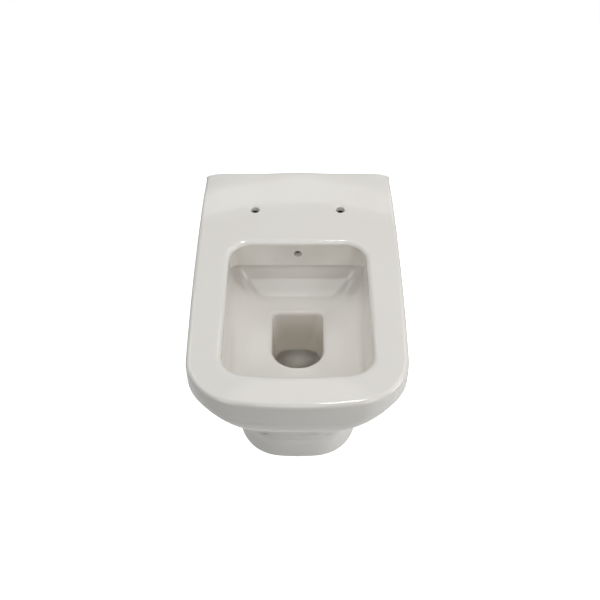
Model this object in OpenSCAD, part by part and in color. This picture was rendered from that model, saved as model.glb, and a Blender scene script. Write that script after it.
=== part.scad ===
// Wall hung toilet pan with its concealed fixings and pipe connections.
// Frame: X to the right, Y into the wall, Z up. The origin lies on the face of the
// finished wall, midway between the two wall studs. Millimetres throughout.
// The glazed pan is cast in five pieces (rim, skirt, bowl, trap and outlet), which are
// luted together before firing. Each casting is a solid of its own that meets its
// neighbours face to face.

/* [Pan size] */
// Overall width across the rim
pan_w = 353; // [340:1:365]
// Projection from the finished wall to the front of the rim
pan_l = 540; // [530:1:560]
// Height of the rim above the wall studs
rim_h = 80; // [78:1:88]
// Height of the rim above the underside of the foot
pan_h = 325; // [320:1:345]
// Wall thickness of the skirt casting
skirt_t = 11; // [9:0.5:12]
// Thickness of the top of the rim casting
rim_t = 10; // [9:0.5:10.5]
// Thickness of the acoustic mat between pan and wall
mat_t = 3; // [2:0.5:5]

/* [Rim outline] */
// Reach of the front corners across the pan
corner_x = 78; // [65:1:95]
// Reach of the front corners along the pan
corner_y = 72; // [60:1:100]
// How round the front corners are: 1 is an ellipse, less is squarer
corner_round = 1; // [0.8:0.01:1]
// How far the front edge bows out in the middle
front_bow = 22.5; // [8:0.5:26]
// How far each side draws in by the front corner
side_draw = 4.8; // [0:0.2:6]
// Distance from the wall at which the sides start to draw in
side_start = 200; // [150:5:260]
// How far each side draws in by the wall
back_draw = 5.6; // [0:0.2:8]
// Distance from the wall at which the sides start to draw in towards it
back_start = 137; // [100:1:180]
// Fillet along the outer edge of the rim
edge_r = 8; // [5:0.5:9]

/* [Skirt and foot] */
// Depth of the upright band below the rim
band_h = 36; // [25:1:40]
// Width of the foot at the front of its underside
foot_w = 209; // [200:1:225]
// Projection of the foot from the wall
foot_l = 401; // [385:1:410]
// Corner reach of the foot
foot_corner = 76; // [60:1:90]
// Fillet along the underside of the foot
foot_edge_r = 8; // [5:0.5:9]
// Share of the taper that the skirt keeps off at the wall
wall_flare = 0.45; // [0.3:0.01:0.6]
// Reach across the pan that steers the corners half way down
belly_x = 115; // [100:1:140]
// Reach along the pan that steers the corners half way down
belly_y = 260; // [180:5:270]
// Pull of the band on the skirt profile below it
belly_pull = 51; // [40:1:90]
// Pull of the foot on the skirt profile above it
foot_pull = 94; // [80:1:150]
// Diameter of the firing vent in the underside
vent_d = 26; // [20:1:40]
// Distance of the firing vent from the wall
vent_y = 330; // [300:5:345]

/* [Rear deck] */
// Rise of the deck against the wall
deck_rise = 18; // [12:0.5:20]
// Extra rise of the deck in the middle
deck_crown = 4; // [0:0.5:5]
// Half width of the crown
crown_w = 75; // [50:5:100]
// Distance from the wall to the foot of the ramp, in the middle
ramp_foot = 94; // [85:1:100]
// Reach of the ramp past the wall line, in the middle
ramp_over = 15; // [5:1:20]
// How much further forward the ramp starts at ramp_side from the middle
ramp_foot_bow = 26; // [10:1:30]
// How much further forward the ramp ends at ramp_side from the middle
ramp_top_bow = 41; // [25:1:48]
// Distance from the middle at which both bows are measured
ramp_side = 150; // [140:1:160]
// Share of the ramp taken up by the hollow fillet at its foot
ramp_hollow = 0.38; // [0.3:0.01:0.45]
// Share of the ramp taken up by the round at its top
ramp_crest = 0.34; // [0.25:0.01:0.4]
// Share of the rise that falls away towards the sides
side_fall = 0.22; // [0:0.01:0.3]
// Width over which it falls away
side_fall_w = 50; // [30:1:60]

/* [Seat holes] */
// Distance between the seat fixing holes
seat_pitch = 155; // [140:1:165]
// Diameter of the seat fixing holes
seat_d = 16; // [12:0.5:18]
// Distance of the seat fixing holes from the wall
seat_y = 86; // [75:1:95]

/* [Bowl mouth] */
// Width of the mouth where the flat rim ends
mouth_w = 255; // [245:1:260]
// Distance from the wall to the back of the mouth
mouth_back = 166; // [160:1:172]
// Distance from the wall to the front of the mouth
mouth_front = 488; // [480:1:494]
// Back corner radius of the mouth
mouth_rb = 47; // [38:1:55]
// Front corner reach of the mouth
mouth_rf = 46; // [38:1:55]
// How far the front of the mouth bows out
mouth_bow = 10; // [4:1:12]
// Fillet from the flat rim into the bowl
lip_r = 9; // [6:0.5:9.5]
// How far the walls of the bowl stand back under the lip
lip_back = 3.5; // [2:0.5:5]
// Depth of the joint between rim and bowl castings, below the rim
lip_depth = 13; // [12:0.5:15]

/* [Bowl] */
// Wall thickness of the bowl casting
bowl_t = 11; // [9:0.5:12]
// How far the sides bulge out below the lip
bulge = 1.5; // [0:0.5:4]
// Depth below the rim that steers the bulge
bulge_depth = 75; // [70:1:82]
// Depth below the rim that steers the turn into the floor
turn_depth = 118; // [110:1:122]
// Depth of the bowl floor at the sump, below the rim
floor_depth = 139; // [134:1:142]
// Depth of the joint between bowl and trap castings
sump_joint = 150; // [148:1:154]
// Corner radius in the valleys beside the rear slope
valley_r = 22; // [16:1:28]
// Distance from the wall to the top of the rear slope
slope_back = 142; // [138:1:148]
// How much the rear slope flattens out towards the sump, 1 for a straight one
slope_bend = 2; // [1:0.1:2.2]

/* [Flush] */
// Depth of the curtain's lower edge below the rim
curtain_h = 58.5; // [54:0.5:62]
// Corner radius at the ends of the curtain
curtain_rb = 13; // [8:1:20]
// Thickness of the curtain
curtain_t = 11; // [9:0.5:12]
// Width of the flush chamber behind the curtain
chamber_w = 200; // [180:2:204]
// Depth of the chamber's roof below the rim
chamber_roof = 21; // [20:0.5:23]
// Diameter of the jet hole in the curtain
jet_d = 14; // [10:0.5:16]
// Depth of the jet hole below the rim
jet_depth = 31; // [29:1:34]
// Height of the flush inlet above the wall studs
inlet_h = 35; // [30:1:35]
// Bore of the flush inlet
inlet_d = 55; // [54:0.5:56]
// Wall thickness of the flush inlet
inlet_t = 7; // [6:0.5:7]

/* [Sump and trap] */
// Width of the sump
sump_w = 91; // [86:1:96]
// Length of the sump
sump_l = 129; // [122:1:134]
// Distance from the wall to the back of the sump
sump_back = 210; // [207:0.5:214]
// Back corner radius of the sump
sump_rb = 10; // [8:1:14]
// Front corner reach of the sump
sump_rf = 43; // [36:1:44]
// Soft edge between the floor and the sump
sump_edge = 7; // [5:0.5:8]
// Wall thickness of the trap casting
trap_t = 10; // [8:0.5:10]
// Height of the waterway under the dip
dip_h = 50; // [48:1:54]
// Width of the waterway
way_w = 80; // [76:1:82]
// Gap between the trap and the bottom of the skirt
dip_clear = 5; // [4:1:10]
// Depth of the waterway's middle over the weir, below the rim
weir_depth = 149; // [146:1:151]
// Distance of the weir from the wall
weir_y = 103.5; // [98:0.5:110]
// Drop from the wall studs to the outlet
outlet_drop = 100; // [95:1:105]
// Outer diameter of the outlet spigot
spigot_d = 102; // [100:1:104]
// Bore of the outlet spigot
spigot_bore = 82; // [80:1:84]
// Length of the outlet spigot
spigot_l = 44; // [40:1:50]
// Distance of the spigot's end from the wall
spigot_end = 8; // [6:1:10]

/* [Pipe connections] */
// Outer diameter of the flush pipe
flush_d = 45; // [44:0.5:46]
// Wall thickness of the flush pipe
flush_t = 2; // [1.5:0.5:3]
// How far the flush pipe reaches into the pan
flush_in = 60; // [50:5:80]
// How far the flush pipe reaches behind the wall face
flush_out = 40; // [30:5:45]
// Outer diameter of the waste pipe
waste_d = 90; // [88:1:92]
// How far the waste pipe reaches behind the wall face
waste_out = 80; // [60:5:120]
// Wall thickness of the outlet connector
waste_t = 3.5; // [3:0.5:4]
// Play between a seal and the pipe it grips
seal_play = 0.05; // [0.02:0.01:0.08]
// Rubber between the outlet spigot and the connector socket
seal_t = 5; // [4:0.5:6]
// Width of the outlet seal
seal_w = 16; // [12:1:20]

/* [Wall fixings] */
// Distance between the wall studs
stud_pitch = 180; // [175:1:185]
// Diameter of the wall studs behind the wall face
stud_d = 12; // [10:1:14]
// Diameter of a stud's room end, at the middle of its thread, which the nut runs on
stud_front_d = 11; // [9:0.2:13]
// Length of a stud in front of the wall
stud_in = 46; // [40:1:60]
// Length of a stud behind the wall face
stud_out = 40; // [30:1:60]
// Distance of the side screws from the wall
side_y = 65; // [60:1:70]
// Thickness of the bracket steel
bracket_t = 4; // [3:0.5:5]
// Height of the bracket against the wall
bracket_h = 52; // [44:1:56]
// Height of the bracket arm
arm_h = 36; // [30:1:40]
// Thickness of the stud nut
nut_h = 10; // [8:0.5:12]
// Width across the flats of the stud nut
nut_af = 18; // [17:0.5:20]
// Diameter of the washer under the stud nut
washer_d = 26; // [24:1:30]
// Thickness of the washer under the stud nut
washer_t = 2.5; // [2:0.5:3]
// Diameter of the side screw's shank
screw_d = 8; // [6:0.5:8]
// Diameter of the side screw's head
head_d = 13; // [12:0.5:14]
// Height of the side screw's head
head_h = 4.4; // [4:0.2:5]
// How far the side screw backs out when it is loosened
screw_travel = 2.5; // [1:0.25:3]
// Diameter of the bush in the side of the pan
bush_d = 24; // [22:0.5:26]
// Diameter of the bush flange and of its cap
flange_d = 30; // [28:0.5:32]
// Play between the bush and the hole in the pan
bush_play = 0.3; // [0.2:0.05:0.5]

/* [Hidden] */

$fn = 72;
china = [0.93, 0.92, 0.89];
rubber = [0.16, 0.16, 0.17];
foam = [0.86, 0.87, 0.88];
grey_plastic = [0.55, 0.57, 0.58];
black_plastic = [0.14, 0.14, 0.15];
white_plastic = [0.92, 0.92, 0.9];
zinc = [0.72, 0.73, 0.72];

// Segments of half an outline: back edge, back corner, side, front corner, front edge.
// The outside's back corners lie past the wall line, so they take one segment only.
fine_out = [5, 1, 12, 7, 4];
fine_in = [5, 4, 9, 7, 4];
plain_out = [4, 1, 9, 8, 4];
plain_in = [4, 4, 8, 7, 3];
coarse = [2, 3, 3, 4, 2];

eps = 0.01;
// The castings run past the wall line and are trimmed there
over = 20;
over_r = 18;
wall_cut = 60;

// Outlines

function mix(a, b, f) = a + (b - a) * f;
function ease(f) = 3 * pow(f, 2) - 2 * pow(f, 3);
function clamp01(f) = max(0, min(1, f));
function bezier(p, t) = p[0] * pow(1 - t, 3) + 3 * p[1] * pow(1 - t, 2) * t
    + 3 * p[2] * (1 - t) * pow(t, 2) + p[3] * pow(t, 3);

// The front edge swells out by bow in the middle and not at all at the sides
function bowed(p, a, bow) = [p.x, p.y - bow * (1 - pow(p.x / a, 2))];

// Points along a side crowd towards its back by this power
crowding = 1.5;

// Half an outline, from the middle of its back to the middle of its front.
// a is the half width, rb the back corner, rx and ry the reach of the front corner.
function half_plan(a, back, front, rb, rx, ry, bow, round, n) =
    let (y0 = front + bow)
    [for (i = [0:n[0] - 1]) [(a - rb) * i / n[0], back],
     for (i = [0:n[1] - 1]) let (t = 90 * i / n[1])
        [a - rb + rb * sin(t), back - rb + rb * cos(t)],
     for (i = [0:n[2] - 1]) [a, mix(back - rb, y0 + ry, pow(i / n[2], crowding))],
     for (i = [0:n[3] - 1]) let (t = 90 * i / n[3])
        bowed([a - rx + rx * pow(cos(t), round), y0 + ry - ry * pow(sin(t), round)], a, bow),
     for (i = [0:n[4]]) bowed([(a - rx) * (1 - i / n[4]), y0], a, bow)];

function both_halves(h) = concat(h, [for (i = [len(h) - 2:-1:1]) [-h[i].x, h[i].y]]);

function plan(a, back, front, rb, rx, ry, bow, round, n) =
    both_halves(half_plan(a, back, front, rb, rx, ry, bow, round, n));

function raise(outline, z) = [for (p = outline) [p.x, p.y, z]];
function blend(a, b, f) = [for (i = [0:len(a) - 1]) mix(a[i], b[i], f)];

// A closed tube of rings: the last ring joins the first again
module rings(rows) {
    n = len(rows[0]);
    m = len(rows);
    polyhedron(
        points = [for (r = rows) each r],
        faces = [for (i = [0:m - 1]) for (j = [0:n - 1])
            let (a = i * n + j, b = i * n + (j + 1) % n,
                 c = ((i + 1) % m) * n + (j + 1) % n, d = ((i + 1) % m) * n + j)
            each (j < n / 2 ? [[a, b, c], [a, c, d]] : [[a, b, d], [b, c, d]])],
        convexity = 8);
}

// Cuts a casting off where it meets the mat
module trimmed() {
    difference() {
        children();
        translate([-pan_w, -mat_t, -pan_h])
            cube([2 * pan_w, wall_cut, 2 * pan_h]);
    }
}

// The pan's outside

half_w = pan_w / 2;
foot_half = foot_w / 2;
band_z = rim_h - band_h;
foot_z = rim_h - pan_h;

// The sides draw in towards the front corners
function drawn(p, amount) =
    let (along = max(0, -p.y - side_start) / (pan_l - side_start - corner_y))
    [p.x * (1 - amount / half_w * pow(along, 2)), p.y];

// The skirt widens again towards the wall, and right by the wall it draws in a little
function flared(p, a) =
    p.x * (1 + wall_flare * (half_w / a - 1) * ease(clamp01(1 + p.y / foot_l)))
        * (1 - back_draw / half_w * ease(clamp01(1 + p.y / back_start)));

// The front of the foot keeps this share of the bow, and its corners are squarer
foot_bow_share = 0.7;
foot_round = 0.8;

// A reach that runs from the band to the foot by way of the belly
function reach(band, belly, foot, t) =
    bezier([band, mix(band, belly, 2 / 3), mix(foot, belly, 2 / 3), foot], t);

// Outline of the pan at step t of the profile, from 0 at the band to 1 at the foot
function body(t, inset, n) =
    let (a = mix(half_w, foot_half, ease(t)),
         front = mix(-pan_l, -foot_l, ease(t)),
         rx = min(reach(corner_x, belly_x, foot_corner, t), a - 2),
         ry = reach(corner_y, belly_y, foot_corner, t),
         bow = front_bow * mix(1, foot_bow_share, t),
         outline = plan(a - inset, over - inset, front + inset, over_r - inset / 2,
             rx - inset, ry - inset, bow, mix(corner_round, foot_round, t), n))
    [for (p = outline) let (q = drawn(p, side_draw * (1 - t))) [flared(q, a), q.y]];

foot_top = pan_h - foot_edge_r;

function body_depth(t) =
    bezier([band_h, band_h + belly_pull, foot_top - foot_pull, foot_top], t);

// Half width of the skirt at a depth below the rim and a distance from the wall
function body_half(depth, from_wall) =
    let (t = lookup(depth, [for (i = [0:0.05:1]) [body_depth(i), i]]),
         a = mix(half_w, foot_half, ease(t)))
    flared([a, -from_wall], a);

// Height of the deck over the flat rim

function ramp_share(x, y) =
    let (s = pow(x / ramp_side, 2),
         start = -ramp_foot - ramp_foot_bow * s,
         end = ramp_over - ramp_top_bow * s)
    clamp01((y - start) / (end - start));

function ramp(f) =
    let (run = 1 - (ramp_hollow + ramp_crest) / 2)
    f < ramp_hollow ? pow(f, 2) / (2 * ramp_hollow * run)
    : f < 1 - ramp_crest ? (f - ramp_hollow / 2) / run
    : 1 - pow(1 - f, 2) / (2 * ramp_crest * run);

function crown(x) = deck_crown * pow(clamp01(1 - pow(x / crown_w, 2)), 2);

function fall(x) = 1 - side_fall * pow(clamp01(1 - (half_w - abs(x)) / side_fall_w), 2);

function deck(p) = (deck_rise + crown(p.x)) * ramp(ramp_share(p.x, p.y)) * fall(p.x);

function on_deck(outline, z) = [for (p = outline) [p.x, p.y, rim_h + z + deck(p)]];

// The mouth and the bowl

mouth_half = mouth_w / 2;
mouth_round = 0.9;
wall_half = mouth_half - lip_r + lip_back;
wall_front = -mouth_front + lip_r - lip_back;
wall_rf = mouth_rf - lip_r + lip_back;
curtain_y = -mouth_back - lip_r + lip_back;
sump_half = sump_w / 2;
sump_front = sump_back + sump_l;

// The mouth, taken in by an inset
function mouth(inset, n) =
    plan(mouth_half - inset, -mouth_back - inset, -mouth_front + inset, mouth_rb - inset,
        mouth_rf - inset, mouth_rf - inset, mouth_bow, mouth_round, n);

// The walls of the bowl under the lip, let out by an amount
function cove(out, n) =
    plan(wall_half + out, curtain_y + out, wall_front - out, curtain_rb + out,
        wall_rf + out, wall_rf + out, mouth_bow, mouth_round, n);

// Heights of the joints under the rim casting, with the skirt and with the bowl
rim_joint = rim_h - rim_t;
bowl_joint = rim_h - lip_depth;

// The deck has a ring just past the wall line, so that its highest point is kept
edge_back = over - edge_r;
deck_end = (edge_back + mat_t - 0.1) / (edge_back + mouth_back);
deck_steps = [0, deck_end, 0.17, 0.26, 0.35, 0.44, 0.53, 0.62, 0.74, 1];

// A ring of the rim's outer edge, at an angle of the fillet: 0 on the side, 90 on top
function rim_edge(t) =
    on_deck(body(0, edge_r * (1 - cos(t)), fine_out), -edge_r * (1 - sin(t)));

// A ring of the lip, at an angle of the fillet: 0 on top, 90 down in the bowl
function lip(t) = raise(mouth(lip_r * sin(t), fine_in), rim_h - lip_r * (1 - cos(t)));

// Rim casting: flat rim, raised rear deck, outer fillet and lip of the bowl
module rim_casting() {
    edge = body(0, edge_r, fine_out);
    root = cove(bowl_t, fine_in);
    color(china)
    difference() {
        trimmed()
            rings([
                raise(body(0, 0, fine_out), rim_joint),
                for (t = [0:30:60]) rim_edge(t),
                for (f = deck_steps) on_deck(blend(edge, mouth(0, fine_in), f), 0),
                for (t = [30:30:90]) lip(t),
                raise(cove(0, fine_in), bowl_joint),
                raise(root, bowl_joint),
                for (f = [0.04, 0.3, 0.6, 0.8]) on_deck(blend(root, edge, f), -rim_t),
                raise(body(0, skirt_t, fine_out), rim_joint)]);
        for (s = [-1, 1])
            translate([s * seat_pitch / 2, -seat_y, rim_h - 2 * rim_t])
                cylinder(h = 4 * rim_t, d = seat_d);
    }
}

// Firing vent in the underside, as an outline
vent_r = vent_d / 2;
function vent(n) =
    plan(vent_r, -vent_y + vent_r, -vent_y - vent_r, vent_r - eps, vent_r - eps, vent_r, 0, 1, n);

// Steps of the skirt's profile, the same from either end
skirt_steps = [0, 0.06, 0.13, 0.22, 0.32, 0.44, 0.56, 0.68, 0.78, 0.87, 0.94, 1];

// The skirt's inside, which rises a little towards the foot
function skirt_in(t) =
    raise(body(t, skirt_t, plain_out), rim_h - body_depth(t) + skirt_t * pow(t, 4) / 2);

// A ring of the foot's lower edge, at an angle of the fillet: 90 is underneath
function foot_edge(t) =
    raise(body(1, foot_edge_r * (1 - cos(t)), plain_out), foot_z + foot_edge_r * (1 - sin(t)));

// Skirt casting: the outer wall below the rim, with the foot and the side holes
module skirt_casting() {
    color(china)
    difference() {
        trimmed()
            rings([
                raise(body(0, skirt_t, plain_out), rim_joint),
                for (t = skirt_steps) skirt_in(t),
                raise(body(1, skirt_t + foot_edge_r, plain_out), foot_z + skirt_t),
                raise(vent(plain_in), foot_z + skirt_t),
                raise(vent(plain_in), foot_z),
                for (t = [90:-30:30]) foot_edge(t),
                for (t = skirt_steps) raise(body(1 - t, 0, plain_out), rim_h - body_depth(1 - t)),
                raise(body(0, 0, plain_out), rim_joint)]);
        for (s = [0, 1]) mirror([s, 0, 0]) {
            translate([bush_in - eps, -side_y, 0]) rotate([0, 90, 0])
                cylinder(h = skirt_t * 3, d = bush_d + 2 * bush_play);
            translate([spot_x, -side_y, 0]) rotate([0, 90, 0])
                cylinder(h = skirt_t * 2, d = flange_d + 2);
        }
    }
}

// Profiles of the bowl's side, inside and outside: half width and depth below the rim
shell_turn = turn_depth + bowl_t * 1.3;
turn_half = wall_half - lip_back;
bowl_in = [[wall_half, lip_depth], [wall_half + bulge, bulge_depth],
    [turn_half, turn_depth], [sump_half + sump_edge, floor_depth]];
bowl_out = [[wall_half + bowl_t, lip_depth], [wall_half + bulge + bowl_t, bulge_depth],
    [turn_half + bowl_t, shell_turn], [sump_half + bowl_t, sump_joint]];
curtain_step = lookup(curtain_h, [for (i = [0:0.02:1]) [bezier(bowl_in, i).y, i]]);

// Back of the bowl at a depth: the curtain above, the rear slope below
function slope_y(depth) = mix(-slope_back, -sump_back + sump_edge,
    pow(clamp01((depth - curtain_h) / (floor_depth - curtain_h)), slope_bend));

// Back of the bowl's shell at a depth
function shell_y(depth) =
    let (f = (depth - curtain_h - bowl_t) / (sump_joint - curtain_h - bowl_t))
    bowl_t + mix(-slope_back, -sump_back, pow(clamp01(f), slope_bend));

// The corners of the valleys sharpen towards the sump
function valley(f, wall) =
    mix(sump_rb + (wall > 0 ? wall : sump_edge), valley_r + wall, min(1, f * 2));

// One ring of the bowl's inside, at step t of the profile
function bowl_ring(t, behind_curtain, n) =
    let (p = bezier(bowl_in, t),
         f = (p.x - sump_half - sump_edge) / (wall_half - sump_half - sump_edge),
         front = mix(-sump_front - sump_edge, wall_front, f),
         reach = mix(sump_rf + sump_edge / 2, wall_rf, f),
         back = behind_curtain ? slope_y(p.y) : curtain_y,
         rb = behind_curtain ? valley(f, 0) : curtain_rb,
         drop = behind_curtain ? 1 - t : 0)
    raise(plan(p.x, back, front, rb, reach, reach, mouth_bow * f, mix(1, mouth_round, f), n),
        rim_h - p.y - drop);

// One ring of the bowl's outside
function bowl_shell(t, n) =
    let (p = bezier(bowl_out, t),
         f = (p.x - sump_half - bowl_t) / (wall_half - sump_half),
         front = mix(-sump_front - bowl_t, wall_front - bowl_t, f),
         reach = mix(sump_rf + bowl_t, wall_rf + bowl_t, f))
    raise(plan(p.x, shell_y(p.y), front, valley(f, bowl_t), reach, reach, mouth_bow * f,
        mix(1, mouth_round, f), n), rim_h - p.y);

// One ring of the sump, taken in by an inset
function sump(inset, n) =
    plan(sump_half - inset, -sump_back - inset, -sump_front + inset, sump_rb - inset,
        sump_rf - inset, sump_rf - inset, 0, 1, n);

// A ring of the throat, at a share of the way from the floor to the joint below
function throat(inset, share) =
    raise(sump(inset, plain_in), rim_h - mix(floor_depth, sump_joint, share));

// The inlet horn ends short of the wall, and its bore breaks into the chamber.
// The chamber opens below the edge of the curtain.
inlet_z = inlet_h;
inlet_end = 12;
inlet_root = slope_back + 3;
chamber_drop = 2;

// Bowl casting: basin, curtain, flush chamber and the inlet horn behind it
module bowl_casting() {
    lower = [0, 0.12, 0.24, 0.36, 0.48, 0.6, 0.72, 0.84, 0.93, 1];
    horn_root = slope_back - bowl_t / 2;
    color(china)
    difference() {
        union() {
            rings([
                for (f = [0, 0.5, 1]) bowl_ring(curtain_step * f, false, plain_in),
                for (f = lower) bowl_ring(mix(curtain_step, 1, f), true, plain_in),
                throat(-sump_edge * 0.35, 0.3),
                throat(0, 0.75),
                throat(0, 1),
                for (t = [1:-0.125:0]) bowl_shell(t, plain_in)]);
            translate([0, -horn_root, inlet_z]) rotate([-90, 0, 0])
                cylinder(h = horn_root - inlet_end, d = inlet_d + 2 * inlet_t);
        }
        translate([0, 0, rim_h - curtain_h - chamber_drop])
            linear_extrude(height = curtain_h + chamber_drop - chamber_roof)
                chamber_plan();
        translate([0, -inlet_root, inlet_z]) rotate([-90, 0, 0])
            cylinder(h = inlet_root, d = inlet_d);
        translate([0, curtain_y - curtain_t, rim_h - jet_depth]) rotate([-90, 0, 0])
            cylinder(h = curtain_t * 2.5, d = jet_d);
    }
}

// The chamber in plan: a slot with round ends behind the curtain
module chamber_plan() {
    front = curtain_y + curtain_t;
    depth = -slope_back - front;
    translate([-chamber_w / 2 + depth / 2, front])
        square([chamber_w - depth, depth]);
    for (s = [-1, 1])
        translate([s * (chamber_w - depth) / 2, front + depth / 2])
            circle(d = depth);
}

outlet_z = -outlet_drop;
outlet_depth = rim_h + outlet_drop;
sump_mid = sump_back + sump_l / 2;
way_half = way_w / 2;
dip_half = dip_h / 2;
dip_depth = pan_h - skirt_t - dip_clear - trap_t - dip_half;
bore_half = spigot_bore / 2;
spigot_root = spigot_end + spigot_l;

// The waterway's stations from the sump to the outlet: distance from the wall, depth
// below the rim, heading, half width and half height
stations = [
    [sump_mid, sump_joint, -90, sump_half, sump_l / 2],
    [sump_mid - 1, sump_joint + 40, -88, sump_half - 1, sump_l / 2 - 2],
    [sump_mid - 15.3, dip_depth - 36, -68, way_half + 3, sump_l / 2 - 12.5],
    [sump_mid - 46, dip_depth - 10, -32, way_half + 1.5, dip_half + 5],
    [sump_mid - 78, dip_depth, 4, way_half, dip_half],
    [sump_mid - 105, dip_depth - 31, 46, way_half, dip_half + 6],
    [weir_y + 44, dip_depth - 69, 62, way_half, dip_half + 8],
    [weir_y + 24, weir_depth + 20, 42, way_half + 1, dip_half + 10],
    [weir_y, weir_depth, 10, way_half + 1, dip_half + 10],
    [weir_y - 25, weir_depth + 7, -12, way_half + 1, dip_half + 13],
    [spigot_root + 8.5, outlet_depth - 12, -12, way_half + 1, bore_half - 1],
    [spigot_root - 6, outlet_depth, 0, bore_half - 0.6, bore_half - 0.6]];

// Station of the joint between trap and outlet castings, and the last station
trap_end = 7;
way_end = len(stations) - 1;

// The sump's outline has turned into a round bore by this station
round_by = 5;

// A ring of the waterway with its wall
function way_ring(k, wall, n) =
    let (s = stations[k],
         f = clamp01(k / round_by),
         c = s[2],
         flat = sump(0, n),
         round = plan(1, 1, -1, 1 - eps, 1 - eps, 1, 0, 1, n))
    [for (j = [0:len(flat) - 1])
        let (p = [flat[j].x / sump_half, (flat[j].y + sump_mid) / (sump_l / 2)],
             q = mix(p, round[j], f),
             x = q.x * (s[3] + wall),
             h = q.y * (s[4] + wall))
        [x, -s[0] - h * sin(c), rim_h - s[1] + h * cos(c)]];

// A stretch of the waterway's wall between two stations
module way(from, to) {
    rings([
        for (k = [from:to]) way_ring(k, 0, coarse),
        for (k = [to:-1:from]) way_ring(k, trap_t, coarse)]);
}

// Trap casting: sump, dip and rising leg
module trap_casting() {
    color(china)
    way(0, trap_end);
}

// Outlet casting: weir and outlet spigot
module outlet_casting() {
    color(china)
    difference() {
        union() {
            way(trap_end, way_end);
            translate([0, -spigot_root, outlet_z]) rotate([-90, 0, 0])
                cylinder(h = spigot_l, d = spigot_d);
        }
        translate([0, -spigot_root - eps, outlet_z]) rotate([-90, 0, 0])
            cylinder(h = spigot_l + 1, d = spigot_bore);
    }
}

// Mat, pipes and seals

socket_in = spigot_d / 2 + seal_t;
socket_out = socket_in + waste_t;
mat_clear = 4;
mat_inset = 1;

// Right half of the pan's back edge, set in by an inset, from the foot up to the middle
function back_half(inset) =
    let (foot = body_half(foot_top, mat_t),
         reach = half_w - edge_r / 2 - inset)
    concat([[foot - foot_edge_r - inset, foot_z + inset]],
        [for (i = [1:-0.125:0])
            [body_half(body_depth(i), mat_t) - inset, rim_h - body_depth(i)]],
        [[reach, rim_h + deck([reach, -mat_t]) - inset - edge_r / 2]],
        [for (i = [0.9:-0.1:0])
            [reach * i, rim_h + deck([reach * i, -mat_t]) - inset]]);

function back_shape(inset) =
    let (h = back_half(inset))
    concat(h, [for (i = [len(h) - 2:-1:0]) [-h[i].x, h[i].y]]);

// Acoustic mat, cut to the pan's back edge
module wall_mat() {
    color(foam)
    difference() {
        rotate([90, 0, 0])
            linear_extrude(height = mat_t)
                polygon(back_shape(mat_inset));
        translate([0, -mat_t - 1, outlet_z]) rotate([-90, 0, 0])
            cylinder(h = mat_t + 2, r = socket_out + mat_clear);
        translate([0, -mat_t - 1, inlet_z]) rotate([-90, 0, 0])
            cylinder(h = mat_t + 2, r = inlet_d / 2 + mat_clear);
        for (s = [0, 1]) mirror([s, 0, 0])
            translate([plate_x - mat_clear, -mat_t - 1, -bracket_h / 2 - mat_clear])
                cube([bush_in - plate_x + 2 * mat_clear, mat_t + 2, bracket_h + 2 * mat_clear]);
    }
}

// Turns a profile of [radius, distance from the wall] about a pipe's axis
module turned(z) {
    translate([0, 0, z]) rotate([-90, 0, 0]) rotate_extrude() children();
}

collar_h = 3;
collar_w = 2;

// Flush pipe with its stop collar
module flush_pipe() {
    r = flush_d / 2;
    color(white_plastic)
    turned(inlet_z)
        difference() {
            union() {
                translate([0, -flush_in]) square([r, flush_in + flush_out]);
                translate([0, -collar_h]) square([r + collar_w, collar_h]);
            }
            translate([0, -flush_in - 1]) square([r - flush_t, flush_in + flush_out + 2]);
        }
}

inlet_seal_l = 34;
lip_w = 3;
groove_h = 2.5;

// Rubber sleeve between the flush pipe and the inlet horn, with three lips and a collar
module inlet_seal() {
    r = inlet_d / 2 - seal_play;
    grip = flush_d / 2 + seal_play;
    root = -inlet_end - inlet_seal_l;
    groove = (inlet_seal_l - lip_w) / 3;
    color(rubber)
    turned(inlet_z)
        difference() {
            union() {
                translate([0, root]) square([r, inlet_seal_l]);
                translate([0, -inlet_end]) square([r + inlet_t - 1, collar_h]);
            }
            translate([0, root - 1]) square([grip, inlet_seal_l + collar_h + 2]);
            for (k = [0:2])
                translate([0, root + lip_w + k * groove])
                    square([grip + groove_h, groove - lip_w]);
        }
}

socket_l = 36;
lead_in = 4;
stop_w = 3.5;

// Outlet connector: a socket over the spigot, drawn down to the waste pipe
module outlet_connector() {
    waste_r = waste_d / 2;
    mouth_y = -spigot_end - socket_l;
    shoulder = -mat_t - 1;
    cone = shoulder + socket_out - waste_r;
    bore = waste_r - waste_t;
    color(grey_plastic)
    turned(outlet_z)
        polygon([
            [socket_in, mouth_y + lead_in],
            [socket_in + waste_t * 0.6, mouth_y],
            [socket_out, mouth_y],
            [socket_out, shoulder],
            [waste_r, cone],
            [waste_r, waste_out],
            [bore, waste_out],
            [bore, cone - waste_t],
            [socket_in - stop_w, shoulder - waste_t / 2],
            [socket_in - stop_w, shoulder - waste_t],
            [socket_in, shoulder - waste_t]]);
}

// Lip seal held in the socket, which grips the spigot
module outlet_seal() {
    grip = spigot_d / 2 + seal_play;
    held = socket_in - seal_play;
    y0 = -spigot_end - socket_l + lead_in + 2;
    y1 = y0 + seal_w;
    lip = 2;
    color(rubber)
    turned(outlet_z)
        polygon([
            [grip, y0], [held, y0],
            [held, y1], [held - lip, y1],
            [held - lip, y0 + 2 * lip], [grip + lip, y1 - lip],
            [grip, y1 - 2 * lip]]);
}

// Wall fixings, drawn for the right-hand side

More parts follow.
